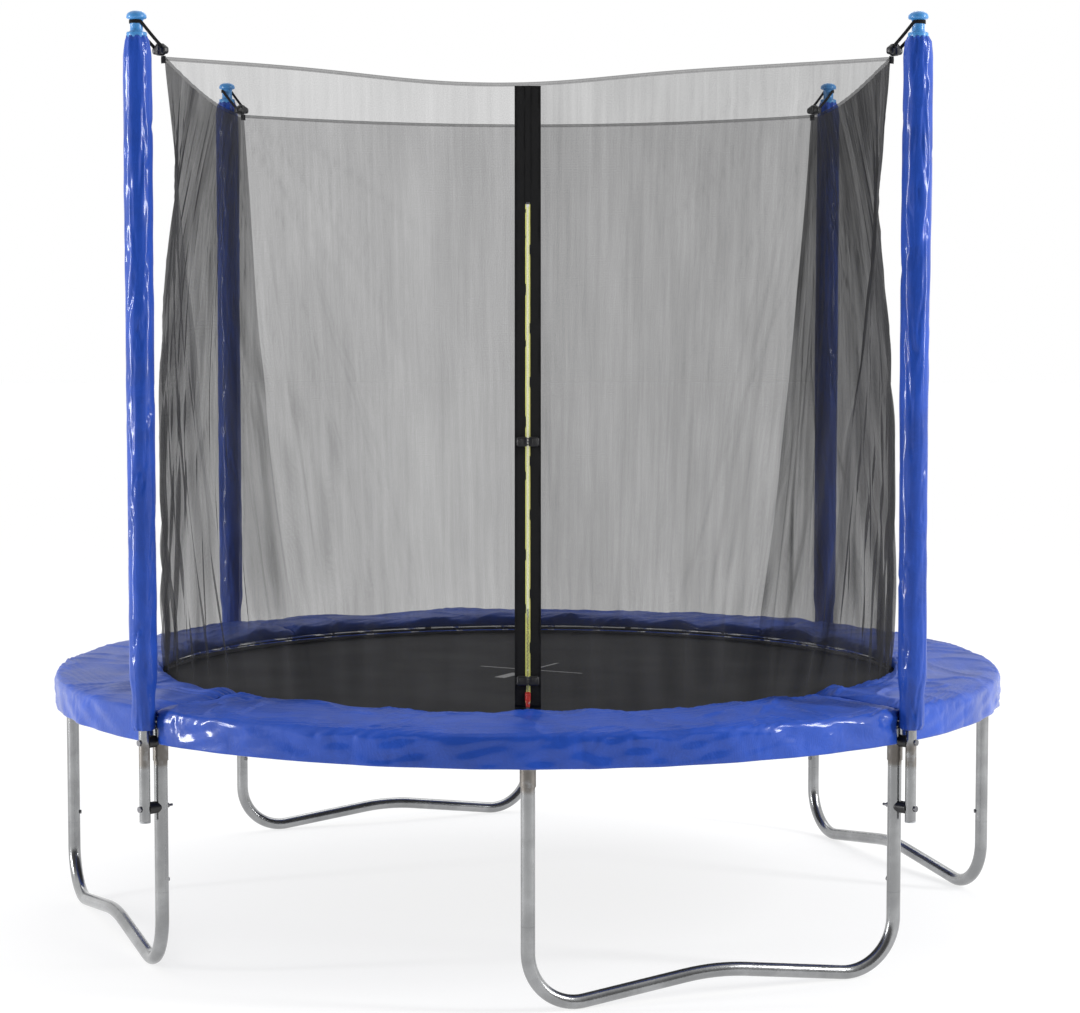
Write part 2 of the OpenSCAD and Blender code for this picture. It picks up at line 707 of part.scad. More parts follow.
pad_section(3);  // pad_section_3
pad_section(4);  // pad_section_4
pole_caps();
pole_foams();
pole_end_plugs();
pole_spacers();
pole_bolts();
leg_screws();
springs();
v_rings();
jump_mat();
mat_hem();
pad_foams();
pad_ties();
net_front_left();
net_front_right();
net_right();
net_back();
net_left();
net_top_hem();
net_skirt();
door_tapes();
zip_teeth();
zip_slider();
zip_pull();
door_buckle_sockets();
door_clip_top();
door_clip_bottom();
net_straps();
strap_buckles();
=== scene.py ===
"""Round garden trampoline with a zipped safety net: the looks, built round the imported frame.

Everything is in metres, with +Z up and the door facing -Y.
Angles round the trampoline are in degrees from +X.
"""
import math

import bpy
import numpy as np
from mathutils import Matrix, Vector


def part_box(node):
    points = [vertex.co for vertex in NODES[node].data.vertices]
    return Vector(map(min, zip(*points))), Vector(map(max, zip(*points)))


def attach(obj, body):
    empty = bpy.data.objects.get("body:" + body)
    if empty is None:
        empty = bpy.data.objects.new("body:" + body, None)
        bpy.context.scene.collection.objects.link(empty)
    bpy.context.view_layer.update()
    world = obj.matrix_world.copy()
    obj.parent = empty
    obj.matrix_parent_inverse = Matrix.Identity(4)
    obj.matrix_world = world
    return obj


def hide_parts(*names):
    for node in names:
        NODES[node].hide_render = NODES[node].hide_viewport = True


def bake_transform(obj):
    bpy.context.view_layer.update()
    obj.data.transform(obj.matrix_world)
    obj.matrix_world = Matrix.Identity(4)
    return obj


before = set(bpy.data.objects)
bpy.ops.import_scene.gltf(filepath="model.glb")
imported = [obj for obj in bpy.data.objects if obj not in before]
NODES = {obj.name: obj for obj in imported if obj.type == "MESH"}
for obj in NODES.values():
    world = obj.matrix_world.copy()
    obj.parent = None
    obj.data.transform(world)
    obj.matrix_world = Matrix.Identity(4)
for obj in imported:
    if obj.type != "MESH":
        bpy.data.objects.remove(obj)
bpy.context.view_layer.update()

TAU = 2 * np.pi


def low(node):
    """Lowest corner of a CAD node."""
    return np.array(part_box(node)[0])


def high(node):
    """Highest corner of a CAD node."""
    return np.array(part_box(node)[1])


# ---------- sizes, from the frame where it gives them ----------

POLE_ANGLES = (45, 135, 225, 315)
RING_R = 1.2                                        # centre of the ring's tube
RING_Z = (low("pad_ties")[2] + high("pad_ties")[2]) / 2
POLE_R = 1.246
SLEEVE_R = (high("pole_sleeve_1")[0] - low("pole_sleeve_1")[0]) / 2
SLEEVE_Z = (low("pole_sleeve_1")[2], high("pole_sleeve_1")[2])
MAT_R = high("mat_hem")[0]
MAT_TOP = high("jump_mat")[2]
MAT_BOTTOM = low("jump_mat")[2]
PAD_TOP = high("pad_section_1")[2]
SKIRT_Z = low("pad_section_1")[2]
PAD_OUTER = 1.225
PAD_INNER = 0.950
NET_LOW = low("net_back")[2]
NET_HIGH = high("net_back")[2]
NET_BASE = 0.640                                    # the net is upright below this
NET_BOTTOM_R = 0.946
NET_MID = 0.810
NET_CORNER = 1.168
HEM_SAG = 0.028
DOOR_SAG = 0.028
NET_BULGE = 0.054
DOOR_SLOPE = math.atan((NET_BOTTOM_R - NET_MID) / (NET_HIGH - NET_BASE))
SPRING_COUNT = 48
STRAP_Z = 2.187
BUCKLE_R = 1.180
BUCKLE_ZS = (0.700, 1.240)
SLIDER_Z = 0.664


# ---------- camera, light and stage ----------

def make_camera():
    """The camera stands a little above the pad's middle, in front of the door, and looks slightly down."""
    data = bpy.data.cameras.new("view_camera")
    data.sensor_width = 36
    data.lens = 86.61
    camera = bpy.data.objects.new("view_camera", data)
    camera.location = (0.0018, -6.7995, 1.5092)
    camera.rotation_euler = (math.radians(90 - 4.03), 0, -0.0044)
    bpy.context.scene.collection.objects.link(camera)
    bpy.context.scene.camera = camera


def area_light(name, place, aim, size, power):
    """A soft rectangular light of that size at a place, turned towards aim."""
    data = bpy.data.lights.new(name, "AREA")
    data.shape = "RECTANGLE"
    data.size, data.size_y = size
    data.energy = power
    light = bpy.data.objects.new(name, data)
    light.location = place
    turn = (Vector(aim) - Vector(place)).to_track_quat("-Z", "Y")
    light.rotation_euler = turn.to_euler()
    bpy.context.scene.collection.objects.link(light)


# ---------- shader arithmetic ----------

class Val:
    """A shader value that takes part in plain arithmetic: each operator adds one Math node."""

    def __init__(self, paint, socket):
        self.paint, self.socket = paint, socket

    def _op(self, name, *values):
        return self.paint.node("ShaderNodeMath", {"operation": name}, dict(enumerate(values)))

    def __add__(self, other): return self._op("ADD", self, other)
    def __radd__(self, other): return self._op("ADD", other, self)
    def __sub__(self, other): return self._op("SUBTRACT", self, other)
    def __rsub__(self, other): return self._op("SUBTRACT", other, self)
    def __mul__(self, other): return self._op("MULTIPLY", self, other)
    def __rmul__(self, other): return self._op("MULTIPLY", other, self)
    def __truediv__(self, other): return self._op("DIVIDE", self, other)
    def __rtruediv__(self, other): return self._op("DIVIDE", other, self)
    def __pow__(self, other): return self._op("POWER", self, other)
    def sin(self): return self._op("SINE", self)
    def abs(self): return self._op("ABSOLUTE", self)
    def over(self, limit): return self._op("GREATER_THAN", self, limit)
    def max(self, other): return self._op("MAXIMUM", self, other)
    def min(self, other): return self._op("MINIMUM", self, other)

    def step(self, start, end):
        """0 below start, 1 above end and smooth between them; the other way round where end is lower."""
        return self.paint.node("ShaderNodeMapRange", {"interpolation_type": "SMOOTHSTEP"},
                               {"Value": self, "From Min": start, "From Max": end})


class Paint:
    """A material in the making, with a Principled shader whose constants go straight on its sockets."""

    def __init__(self, name, color, rough=0.5, metal=0.0, **constants):
        self.mat = bpy.data.materials.new(name)
        self.mat.use_nodes = True
        self.tree = self.mat.node_tree
        self.bsdf = next(n for n in self.tree.nodes if n.type == "BSDF_PRINCIPLED")
        self.bsdf.inputs["Base Color"].default_value = (*color, 1)
        self.bsdf.inputs["Roughness"].default_value = rough
        self.bsdf.inputs["Metallic"].default_value = metal
        for key, value in constants.items():
            self.bsdf.inputs[key.replace("_", " ")].default_value = value
        self.color = color

    def node(self, kind, settings=None, inputs=None, out=0):
        """Adds a node: its settings, then its sockets' values or links. Returns the output asked for."""
        made = self.tree.nodes.new(kind)
        for key, value in (settings or {}).items():
            setattr(made, key, value)
        for key, value in (inputs or {}).items():
            self.plug(made.inputs[key], value)
        return Val(self, made.outputs[out])

    def plug(self, socket, value):
        if isinstance(value, Val):
            self.tree.links.new(value.socket, socket)
        else:
            socket.default_value = (*value, 1) if socket.type == "RGBA" and len(value) == 3 else value

    def feed(self, name, value):
        self.plug(self.bsdf.inputs[name], value)
        return self

    def place(self, kind="Object"):
        return self.node("ShaderNodeTexCoord", out=kind)

    def axes(self, place=None):
        """The three coordinates of the point, as values."""
        parts = self.node("ShaderNodeSeparateXYZ", None, {0: place or self.place()})
        outs = parts.socket.node.outputs
        return [Val(self, outs[i]) for i in range(3)]

    def noise(self, scale, detail=3, rough=0.5, stretch=(1, 1, 1), place=None, warp=0.0):
        """Soft noise with its pattern stretched along the axes."""
        where = self.node("ShaderNodeMapping", None, {0: place or self.place(), "Scale": stretch})
        return self.node("ShaderNodeTexNoise", None, {
            "Vector": where, "Scale": scale, "Detail": detail, "Roughness": rough, "Distortion": warp})

    def blend(self, factor, first, second):
        """A colour between two colours."""
        made = self.tree.nodes.new("ShaderNodeMix")
        made.data_type = "RGBA"
        for key, value in ((0, factor), (6, first), (7, second)):
            self.plug(made.inputs[key], value)
        return Val(self, made.outputs[2])

    def tone(self, factor, dark, light):
        """The material's own colour between a darker and a lighter one."""
        return self.blend(factor, shade(self.color, dark), shade(self.color, light))

    def bump(self, height, distance=0.001, strength=1.0):
        return self.feed("Normal", self.node("ShaderNodeBump", None, {
            "Strength": strength, "Distance": distance, "Height": height}))


def shade(color, factor):
    """A colour made lighter or darker."""
    return tuple(min(1.0, c * factor) for c in color)


# ---------- materials ----------

def galvanised():
    """Dull zinc on steel tube: cloudy grey, drawn streaks, and a brown stain by the welded sockets."""
    base = (0.34, 0.345, 0.35)
    p = Paint("galvanised_tube", base, 0.3, 0.95)
    z = p.axes()[2]
    cloud = p.noise(9, 4, 0.6)
    fine = p.noise(160, 3, 0.6, (1, 1, 0.12))
    color = p.tone(cloud.step(0.35, 0.7), 0.80, 1.12)
    band = z.step(0.484, 0.500) * z.step(0.556, 0.536)
    stain = band * p.noise(40, 3, 0.6).step(0.2, 0.5)
    p.feed("Base Color", p.blend(stain * 0.5, color, (0.10, 0.065, 0.028)))
    p.feed("Roughness", 0.13 + 0.11 * cloud + 0.06 * fine + 0.25 * stain)
    return p.bump(fine + 0.6 * p.noise(420, 2), 0.0004, 0.3).mat


def vinyl(name, color, gloss, flat_above=None):
    """Glossy coated cloth: soft creases, a fine woven base that shows through, and uneven gloss.

    Above the height flat_above the coat is worn duller.
    """
    p = Paint(name, color, 0.4, Coat_Weight=0.40, Coat_Roughness=gloss, Specular_IOR_Level=0.14)
    wide = p.noise(6, 3, 0.55, warp=0.8)
    crease = (p.noise(20, 4, 0.55, warp=1.6) - 0.5).abs()
    x, y, z = p.axes()
    weave = ((x * 2600).sin() * (z * 2600).sin() + (y * 2600).sin()) * 0.03
    tone = p.tone(wide.step(0.3, 0.7), 0.86, 1.14)
    p.feed("Base Color", p.blend(crease.step(0.02, 0.0) * 0.12, tone, shade(color, 1.8)))
    p.feed("Roughness", 0.36 + 0.18 * wide)
    if flat_above:
        p.feed("Coat Weight", 0.10 + 0.40 * z.step(flat_above + 0.006, flat_above - 0.006))
    return p.bump(wide * 1.8 + crease * 1.1 + weave, 0.003, 0.6).mat


def mesh_cloth(name, color, pitch, cover=None, fray=0.10):
    """Knitted net seen through: threads along both ways of the cloth, with open holes and uneven knots.

    cover is the mean share that the threads fill. Without it, the share comes from the mesh's own cover
    values, which rise where folds lay the cloth over itself. The cloth's map is in metres, so the holes
    keep their size.
    """
    p = Paint(name, color, 0.85, Specular_IOR_Level=0.1)
    share = cover if cover else p.node("ShaderNodeAttribute", {"attribute_name": "cover"}, out="Fac")
    u, v, _ = p.axes(p.place("UV"))
    threads = ((u * (TAU / pitch)).sin().abs() + (v * (TAU / pitch)).sin().abs()) * 0.5
    streak = p.noise(60, 3, 0.65, (1, 0.04, 1), p.place("UV"))
    patch = p.noise(7, 3, 0.6, (1, 0.3, 1), p.place("UV"))
    knot = p.noise(420, 2, 0.5, (1, 1, 1), p.place("UV"))
    uneven_share = 1 + (streak - 0.5) * fray * 5 + (patch - 0.5) * fray * 4
    alpha = share * uneven_share + (0.64 - threads) * 0.40 + (knot - 0.5) * 0.25
    p.feed("Alpha", alpha.max(0.05).min(1.0))
    p.feed("Base Color", p.tone(streak, 0.6, 1.5))
    return p.bump(threads, 0.0008, 0.4).mat


def woven_mat():
    """Dense black woven mat: flat tapes at right angles, dusty in places, with a thin white cross."""
    base = (0.041, 0.041, 0.042)
    p = Paint("woven_mat", base, 0.8, Specular_IOR_Level=0.12)
    x, y, _ = p.axes()
    tape = 0.0042
    over = ((x * (math.pi / tape)).sin() * (y * (math.pi / tape)).sin())
    ribs = ((x * (TAU * 2 / tape)).sin() + (y * (TAU * 2 / tape)).sin()) * 0.12
    dust = p.noise(3.2, 5, 0.62)
    tone = p.tone(dust.step(0.3, 0.75), 0.8, 1.5)
    turn, half, wide = math.radians(61.5), 0.155, 0.0042
    east, north = x - 0.008, y - 0.150
    along = east * math.cos(turn) + north * math.sin(turn)
    across = north * math.cos(turn) - east * math.sin(turn)
    line = lambda a, b: (1 - a.abs().over(half)) * (1 - b.abs().over(wide))
    cross = line(along, across).max(line(across, along))
    patch = (1 - (along + 0.125).abs().over(0.050)) * (1 - across.abs().over(0.016))
    print_wear = p.noise(120, 3, 0.6).step(0.20, 0.45)
    p.feed("Base Color", p.blend(cross.max(patch) * print_wear * 0.8, tone, (0.52, 0.52, 0.52)))
    p.feed("Roughness", 0.74 + 0.2 * dust)
    return p.bump(over * 0.5 + ribs, 0.0006, 0.8).mat


def webbing(name, color, pitch=0.0024):
    """Woven strap: a herringbone of fine ribs, slightly faded in places."""
    p = Paint(name, color, 0.8, Specular_IOR_Level=0.15)
    x, y, z = p.axes()
    rib = ((x + y + z) * (TAU / pitch)).sin() * ((x - y + z) * (TAU / pitch)).sin()
    fade = p.noise(14, 4, 0.6)
    p.feed("Base Color", p.tone(fade, 0.7, 1.7))
    p.feed("Roughness", 0.72 + 0.2 * fade)
    return p.bump(rib, 0.0005, 0.7).mat


def stitched_hem():
    """The mat's hem: webbing with two rows of pale zigzag thread that run round the mat."""
    color = (0.028, 0.028, 0.03)
    p = Paint("mat_hem_webbing", color, 0.6, Sheen_Weight=0.3)
    x, y, _ = p.axes()
    radius = (x * x + y * y) ** 0.5
    turn = p.node("ShaderNodeMath", {"operation": "ARCTAN2"}, {0: y, 1: x})
    zigzag = ((turn * 260).sin()) * 0.0018
    thread = lambda r: 1 - (radius - r - zigzag).abs().over(0.0007)
    rows = thread(MAT_R - 0.008).max(thread(MAT_R - 0.030))
    rib = (turn * 2600).sin()
    fade = p.noise(20, 3)
    tone = p.tone(fade, 0.7, 1.6)
    p.feed("Base Color", p.blend(rows * 0.6, tone, (0.12, 0.12, 0.12)))
    return p.bump(rib * 0.3 + rows, 0.0006, 0.7).mat


def plastic(name, color, rough, grain=600, depth=0.00008):
    """Moulded plastic with a fine grain and slight unevenness of gloss."""
    p = Paint(name, color, rough, Specular_IOR_Level=0.5)
    cloud = p.noise(25, 3)
    p.feed("Base Color", p.tone(cloud, 0.88, 1.1))
    p.feed("Roughness", rough - 0.06 + 0.14 * cloud)
    return p.bump(p.noise(grain, 2), depth, 0.5).mat


def metal(name, color, rough, scale=200):
    """Plated metal with faint drawn lines and spots of wear."""
    p = Paint(name, color, rough, 0.95)
    fine = p.noise(scale, 3, 0.6)
    wear = p.noise(40, 4, 0.6).step(0.5, 0.7)
    p.feed("Base Color", p.blend(wear, color, shade(color, 1.35)))
    p.feed("Roughness", rough - 0.05 + 0.15 * fine + 0.1 * wear)
    return p.bump(fine, 0.0002, 0.4).mat


def enamel(name, color):
    """Painted die-cast metal, worn to bare metal in small spots."""
    p = Paint(name, color, 0.35, 0.2)
    wear = p.noise(90, 4, 0.6).step(0.60, 0.72)
    p.feed("Base Color", p.blend(wear * 0.7, color, (0.62, 0.58, 0.55)))
    p.feed("Metallic", 0.15 + 0.7 * wear)
    return p.bump(p.noise(300, 2), 0.0001, 0.4).mat


def foam_cloth():
    """Cut closed-cell foam, white with small open cells whose pits are darkened with painted shade."""
    p = Paint("foam_white", (0.80, 0.80, 0.76), 0.9)
    cells = p.node("ShaderNodeTexVoronoi", None, {"Vector": p.place(), "Scale": 420}, out="Distance")
    # Painted shade: the colour darkens towards each cell's middle, where the bump sinks into a pit.
    p.feed("Base Color", p.blend(cells, (0.68, 0.68, 0.64), (0.86, 0.86, 0.82)))
    return p.bump(cells, 0.0006, 0.6).mat


BLUE = (0.015, 0.067, 0.40)
BLACK = (0.008, 0.008, 0.009)
MAT = {
    "tube": galvanised(),
    "pad": vinyl("vinyl_pad", BLUE, 0.12, 0.618),
    "sleeve": vinyl("vinyl_sleeve", shade(BLUE, 0.95), 0.10),
    "net": mesh_cloth("net_black", (0.030, 0.030, 0.032), 0.0031),
    "net_hem": mesh_cloth("net_hem_doubled", (0.028, 0.028, 0.030), 0.0026, 0.42, 0.04),
    "mat": woven_mat(),
    "mat_hem": stitched_hem(),
    "tape": webbing("webbing_black", (0.0085, 0.0085, 0.009)),
    "elastic": webbing("elastic_black", (0.015, 0.015, 0.016), 0.0034),
    "zip_tape": webbing("zip_tape_pale", (0.72, 0.72, 0.16), 0.0018),
    "zip_teeth": plastic("zip_teeth_pale", (0.85, 0.84, 0.30), 0.30),
    "slider": enamel("slider_red", (0.55, 0.035, 0.025)),
    "pull": enamel("pull_red", (0.62, 0.05, 0.035)),
    "black": plastic("plastic_black", BLACK, 0.38),
    "cap": plastic("plastic_azure", (0.065, 0.265, 0.60), 0.26),
    "plug": plastic("plastic_grey", (0.40, 0.41, 0.43), 0.45),
    "bolt": metal("bolt_dark", (0.16, 0.16, 0.17), 0.36),
    "spring": metal("spring_zinc", (0.62, 0.63, 0.65), 0.25),
    "foam": foam_cloth(),
}


# ---------- mesh building ----------

class Solid:
    """Vertices with four-sided and three-sided faces, all as whole arrays."""

    def __init__(self, verts, quads, tris=None, uv=None):
        self.verts = np.asarray(verts, float).reshape(-1, 3)
        self.quads = np.asarray(quads, int).reshape(-1, 4)
        self.tris = np.asarray([] if tris is None else tris, int).reshape(-1, 3)
        self.uv = uv

    def outward(self):
        """Turns every face round if the closed shape's volume comes out negative."""
        a = self.verts[np.vstack([self.quads[:, [0, 1, 2]], self.quads[:, [0, 2, 3]], self.tris])]
        if np.einsum("ij,ij->", a[:, 0], np.cross(a[:, 1], a[:, 2])) < 0:
            self.quads, self.tris = self.quads[:, ::-1], self.tris[:, ::-1]
        return self

    def moved(self, turn=0.0, shift=(0, 0, 0)):
        """A copy turned about +Z by degrees, after a shift."""
        a = math.radians(turn)
        m = np.array([[math.cos(a), math.sin(a), 0], [-math.sin(a), math.cos(a), 0], [0, 0, 1]])
        return Solid((self.verts + shift) @ m, self.quads, self.tris, self.uv)


def joined(solids):
    """One solid of several, side by side."""
    shift = np.cumsum([0] + [len(s.verts) for s in solids[:-1]])
    uv = None if solids[0].uv is None else np.vstack([s.uv for s in solids])
    return Solid(np.vstack([s.verts for s in solids]),
                 np.vstack([s.quads + k for s, k in zip(solids, shift)]),
                 np.vstack([s.tris + k for s, k in zip(solids, shift)]), uv)


def at_poles(solid):
    """Four copies of a solid that is built at +X, one at each pole."""
    return joined([solid.moved(d) for d in POLE_ANGLES])


def grid(points, wrap_rows=False, wrap_cols=False, caps=False, uv=None):
    """A surface through an (m, n, 3) grid of points. Wrapped ways close on themselves.

    caps closes the first and last row with a fan to its middle, for a tube of rows.
    """
    m, n = points.shape[:2]
    rows = np.arange(m if wrap_rows else m - 1)
    cols = np.arange(n if wrap_cols else n - 1)
    i, j = np.meshgrid(rows, cols, indexing="ij")
    a, b = i * n + j, ((i + 1) % m) * n + j
    c, d = ((i + 1) % m) * n + (j + 1) % n, i * n + (j + 1) % n
    quads = np.stack([a, b, c, d], -1).reshape(-1, 4)
    verts, tris = points.reshape(-1, 3), None
    if caps:
        k = np.arange(n)
        near, far = m * n, m * n + 1
        first = np.stack([np.full(n, near), k, (k + 1) % n], -1)
        last = np.stack([np.full(n, far), (m - 1) * n + (k + 1) % n, (m - 1) * n + k], -1)
        verts = np.vstack([verts, points[0].mean(0), points[-1].mean(0)])
        tris = np.vstack([first, last])
    solid = Solid(verts, quads, tris, None if uv is None else uv.reshape(-1, 2))
    closed = (wrap_rows and wrap_cols) or caps
    return solid.outward() if closed else solid


def unit(v):
    return v / np.maximum(np.linalg.norm(v, axis=-1, keepdims=True), 1e-12)


def carry(path, profile, up=(0, 0, 1), closed=False, scale=None):
    """A profile carried along a path. Its first coordinate lies along the path's tangent crossed with up,
    its second along up. scale gives the profile's size at each point of the path."""
    path, profile = np.asarray(path, float), np.asarray(profile, float)
    if closed:
        tangent = unit(np.roll(path, -1, 0) - np.roll(path, 1, 0))
    else:
        tangent = unit(np.gradient(path, axis=0))
    up = np.broadcast_to(np.asarray(up, float), path.shape)
    side = unit(np.cross(tangent, up))
    rise = np.cross(side, tangent)
    size = np.ones(len(path)) if scale is None else np.asarray(scale, float)
    a, b = (profile[None] * size[:, None, None]).transpose(2, 0, 1)
    points = path[:, None] + a[..., None] * side[:, None] + b[..., None] * rise[:, None]
    return grid(points, wrap_rows=closed, wrap_cols=True, caps=not closed)


def disc(radius, sides=8):
    """The outline of a round wire."""
    a = np.arange(sides) / sides * TAU
    return radius * np.stack([np.cos(a), np.sin(a)], -1)


def rounded(width, height, corner, steps=4):
    """The outline of a rectangle with round corners."""
    a = np.linspace(0, np.pi / 2, steps)
    corners = [(1, 1, 0), (-1, 1, 1), (-1, -1, 2), (1, -1, 3)]
    parts = [np.stack([sx * (width / 2 - corner) + corner * np.cos(a + k * np.pi / 2),
                       sy * (height / 2 - corner) + corner * np.sin(a + k * np.pi / 2)], -1)
             for sx, sy, k in corners]
    return np.vstack(parts)


def block(size, corner, edge, steps=4):
    """A block with round corners seen from above and rounded top and bottom edges, centred on the origin."""
    a = np.linspace(0, np.pi / 2, steps)
    inset = edge * (1 - np.sin(a))
    lift = edge * (1 - np.cos(a))
    insets = np.concatenate([inset, inset[::-1]])
    heights = np.concatenate([-size[2] / 2 + lift, size[2] / 2 - lift[::-1]])
    rings = [np.column_stack([rounded(size[0] - 2 * k, size[1] - 2 * k, max(corner - k, 0.0002), steps),
                              np.full(4 * steps, h)]) for k, h in zip(insets, heights)]
    return grid(np.array(rings), wrap_cols=True, caps=True)


def turned(profile, sides=48):
    """A profile of (radius, height) points turned about +Z."""
    a = np.arange(sides) / sides * TAU
    r, z = np.asarray(profile, float).T
    points = polar(r[:, None], np.degrees(a), z[:, None])
    return grid(points, wrap_cols=True, caps=True)


def noise_waves(seed, count, low_f, high_f, dims=2):
    """Random waves for soft unevenness: (wave vectors, phases, heights)."""
    rng = np.random.default_rng(seed)
    f = np.exp(rng.uniform(np.log(low_f), np.log(high_f), count))
    d = rng.normal(size=(count, dims))
    return unit(d) * f[:, None], rng.uniform(0, TAU, count), 1 / np.sqrt(f / low_f)


def uneven(waves, *coords):
    """A sum of those waves over the coordinates, about -1 to 1."""
    k, phase, height = waves
    total = sum(h * np.sin(TAU * sum(c * w for c, w in zip(coords, kv)) + p)
                for kv, p, h in zip(k, phase, height))
    return total / np.sqrt((height ** 2).sum())


def smooth(t):
    """0 to 1 with a soft start and end."""
    t = np.clip(t, 0, 1)
    return t * t * (3 - 2 * t)


def piece(name, solid, material, body="root", replaces=(), cover=None):
    """Makes the mesh object, rides it on its body and hides the CAD nodes that it stands for.

    cover gives each vertex the share that threads fill, for net.
    """
    mesh = bpy.data.meshes.new(name)
    faces = len(solid.quads) + len(solid.tris)
    corners = np.concatenate([solid.quads.ravel(), solid.tris.ravel()])
    sizes = np.concatenate([np.full(len(solid.quads), 4), np.full(len(solid.tris), 3)])
    mesh.vertices.add(len(solid.verts))
    mesh.vertices.foreach_set("co", solid.verts.astype(np.float32).ravel())
    mesh.loops.add(len(corners))
    mesh.loops.foreach_set("vertex_index", corners.astype(np.int32))
    mesh.polygons.add(faces)
    mesh.polygons.foreach_set("loop_start", (np.cumsum(sizes) - sizes).astype(np.int32))
    mesh.update(calc_edges=True)
    if solid.uv is not None:
        layer = mesh.uv_layers.new(name="cloth")
        layer.data.foreach_set("uv", solid.uv[corners].astype(np.float32).ravel())
    if cover is not None:
        mesh.attributes.new("cover", "FLOAT", "POINT").data.foreach_set(
            "value", cover.astype(np.float32).ravel())
    mesh.polygons.foreach_set("use_smooth", np.ones(faces, bool))
    mesh.materials.append(material)
    obj = bpy.data.objects.new(name, mesh)
    bpy.context.scene.collection.objects.link(obj)
    if body:
        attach(obj, body)
    if replaces:
        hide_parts(*replaces)
    return obj


def polar(r, degrees, z):
    """Points from radius, direction and height."""
    a = np.radians(degrees)
    r, a, z = np.broadcast_arrays(r, a, z)
    return np.stack([r * np.cos(a), r * np.sin(a), z], -1)


# ---------- the net's shape ----------

def side_angle(a):
    """Degrees from the middle of the nearest side."""
    return a - 90 * np.round(a / 90)


def door_near(a):
    """1 at the door's middle, falling to 0 at its two corners."""
    return np.maximum(0, np.cos(np.radians(2 * np.minimum(45, np.abs(a + 90))))) ** 2


def net_top(a):
    """Height of the net's top edge: it sags between the corners, and more over the door.

    The front is slacker left of the door than right of it.
    """
    u = np.tan(np.radians(side_angle(a)))
    slack = 0.007 * np.exp(-((a + 108) / 14) ** 2) - 0.006 * np.exp(-((a + 72) / 14) ** 2)
    return NET_HIGH - (HEM_SAG + DOOR_SAG * door_near(a)) * (1 - u * u) - slack


def net_radius(a, z):
    """The net is round at the pad and square at the top, and bulges in between except at the door."""
    t = np.maximum(0, (z - NET_BASE) / (NET_HIGH - NET_BASE))
    middle = (NET_BOTTOM_R - (NET_BOTTOM_R - NET_MID) * t
              + NET_BULGE * (t - t ** 3) / 0.385 * (1 - door_near(a)))
    corner = NET_BOTTOM_R + (NET_CORNER - NET_BOTTOM_R) * (t + 0.1 * np.sin(np.pi * np.minimum(t, 1)))
    w = (1 / np.cos(np.radians(side_angle(a))) - 1) / (math.sqrt(2) - 1)
    return middle + (corner - middle) * w


FOLD_WAVES = noise_waves(5, 9, 0.8, 3.2, 3)
DRIFT_WAVES = noise_waves(6, 7, 0.6, 2.2, 3)
SHADE_WAVES = noise_waves(8, 9, 0.8, 3.5, 3)
FAN_WAVES = noise_waves(7, 8, 2.5, 9.0, 1)


def net_folds(a, z):
    """How far the cloth stands off its taut shape, and how sharply it is creased there.

    Upright gathers are deepest at the pad and the corners, long soft folds lean, and creases fan out from the
    top corners. The door's tapes hold it flat.
    """
    t = (z - NET_LOW) / (net_top(a) - NET_LOW)
    s = np.radians(a)
    gap = np.radians(45 - np.abs(side_angle(a))) * 0.95
    side = np.cos(s) ** 2
    drift = uneven(DRIFT_WAVES, np.cos(s), np.sin(s), z)
    gather = np.sin(52 * s + 2.2 * drift + 1.2 * z) * 0.6 + np.sin(83 * s - 2.6 * drift) * 0.4
    depth = 0.0014 + 0.0050 * (1 - t) ** 1.5 + 0.0025 * (1 - gap / 0.75) ** 3
    belly = np.sin(np.pi * np.clip(t, 0, 1)) ** 0.7
    long_fold = 0.009 * uneven(FOLD_WAVES, 1.6 * np.cos(s), 1.6 * np.sin(s), z * 0.55) * belly
    half = 3.7 * np.round(a / 90) + 1.9 * np.sign(side_angle(a))
    fan = np.abs(uneven(FAN_WAVES, np.arctan2(gap, net_top(a) - z + 0.03) + half))
    crease = (np.maximum(0, 1 - fan / 0.13)
              * smooth(gap / 0.05) * smooth(1 - gap / 0.72) * smooth((1 - t) / 0.08))
    crease = crease * (0.25 + 0.75 * side)
    hold_low = smooth((z - NET_LOW) / 0.10)
    hold_high = smooth((1 - t) / 0.04) * 0.75 + 0.25
    free = smooth((np.abs(a + 90) - 2.3) / 5)
    off = (gather * depth * (1 + 1.3 * side) * (0.25 + 0.75 * hold_low)
           + (long_fold * (1 + 0.4 * side) + 0.0045 * crease) * hold_low)
    return off * hold_high * free, crease * hold_low * free


def net_panel(name, a0, a1, cols, cover, rows=64):
    """One panel of the net as a single sheet, with its cloth map in metres and its own cover values."""
    a = np.linspace(a0, a1, cols + 1)[None, :]
    t = np.linspace(0, 1, rows + 1)[:, None]
    z = NET_LOW + (net_top(a) - NET_LOW) * t
    off, crease = net_folds(a, z)
    points = polar(net_radius(a, z) + off, a + 0 * z, z)
    step = np.linalg.norm(np.diff(points, axis=1), axis=-1)
    width = step.sum(1)
    across = np.concatenate([np.zeros((rows + 1, 1)), np.cumsum(step, 1)], 1)
    uv = np.stack([across / width[:, None] * width.mean(), z - NET_LOW + 0 * a], -1)
    tall = float(np.linalg.norm(np.diff(points, axis=0), axis=-1).sum(0).mean())
    slope = np.gradient(off, axis=1) / (width[:, None] / cols)
    s = np.radians(a)
    folds = uneven(SHADE_WAVES, 2.2 * np.cos(s), 2.2 * np.sin(s), z * 0.35)
    low_share, high_share = cover
    share = (low_share + (high_share - low_share) * t) * np.sqrt(1 + (1.1 * slope) ** 2) * (1 + 0.05 * folds)
    share = share * (1 + 0.34 * crease)
    cloth = piece(name + "_cloth", grid(points, uv=uv), MAT["net"], replaces=[name],
                  cover=np.clip(share, 0.1, 0.95))
    return cloth, (float(width.mean()), tall)


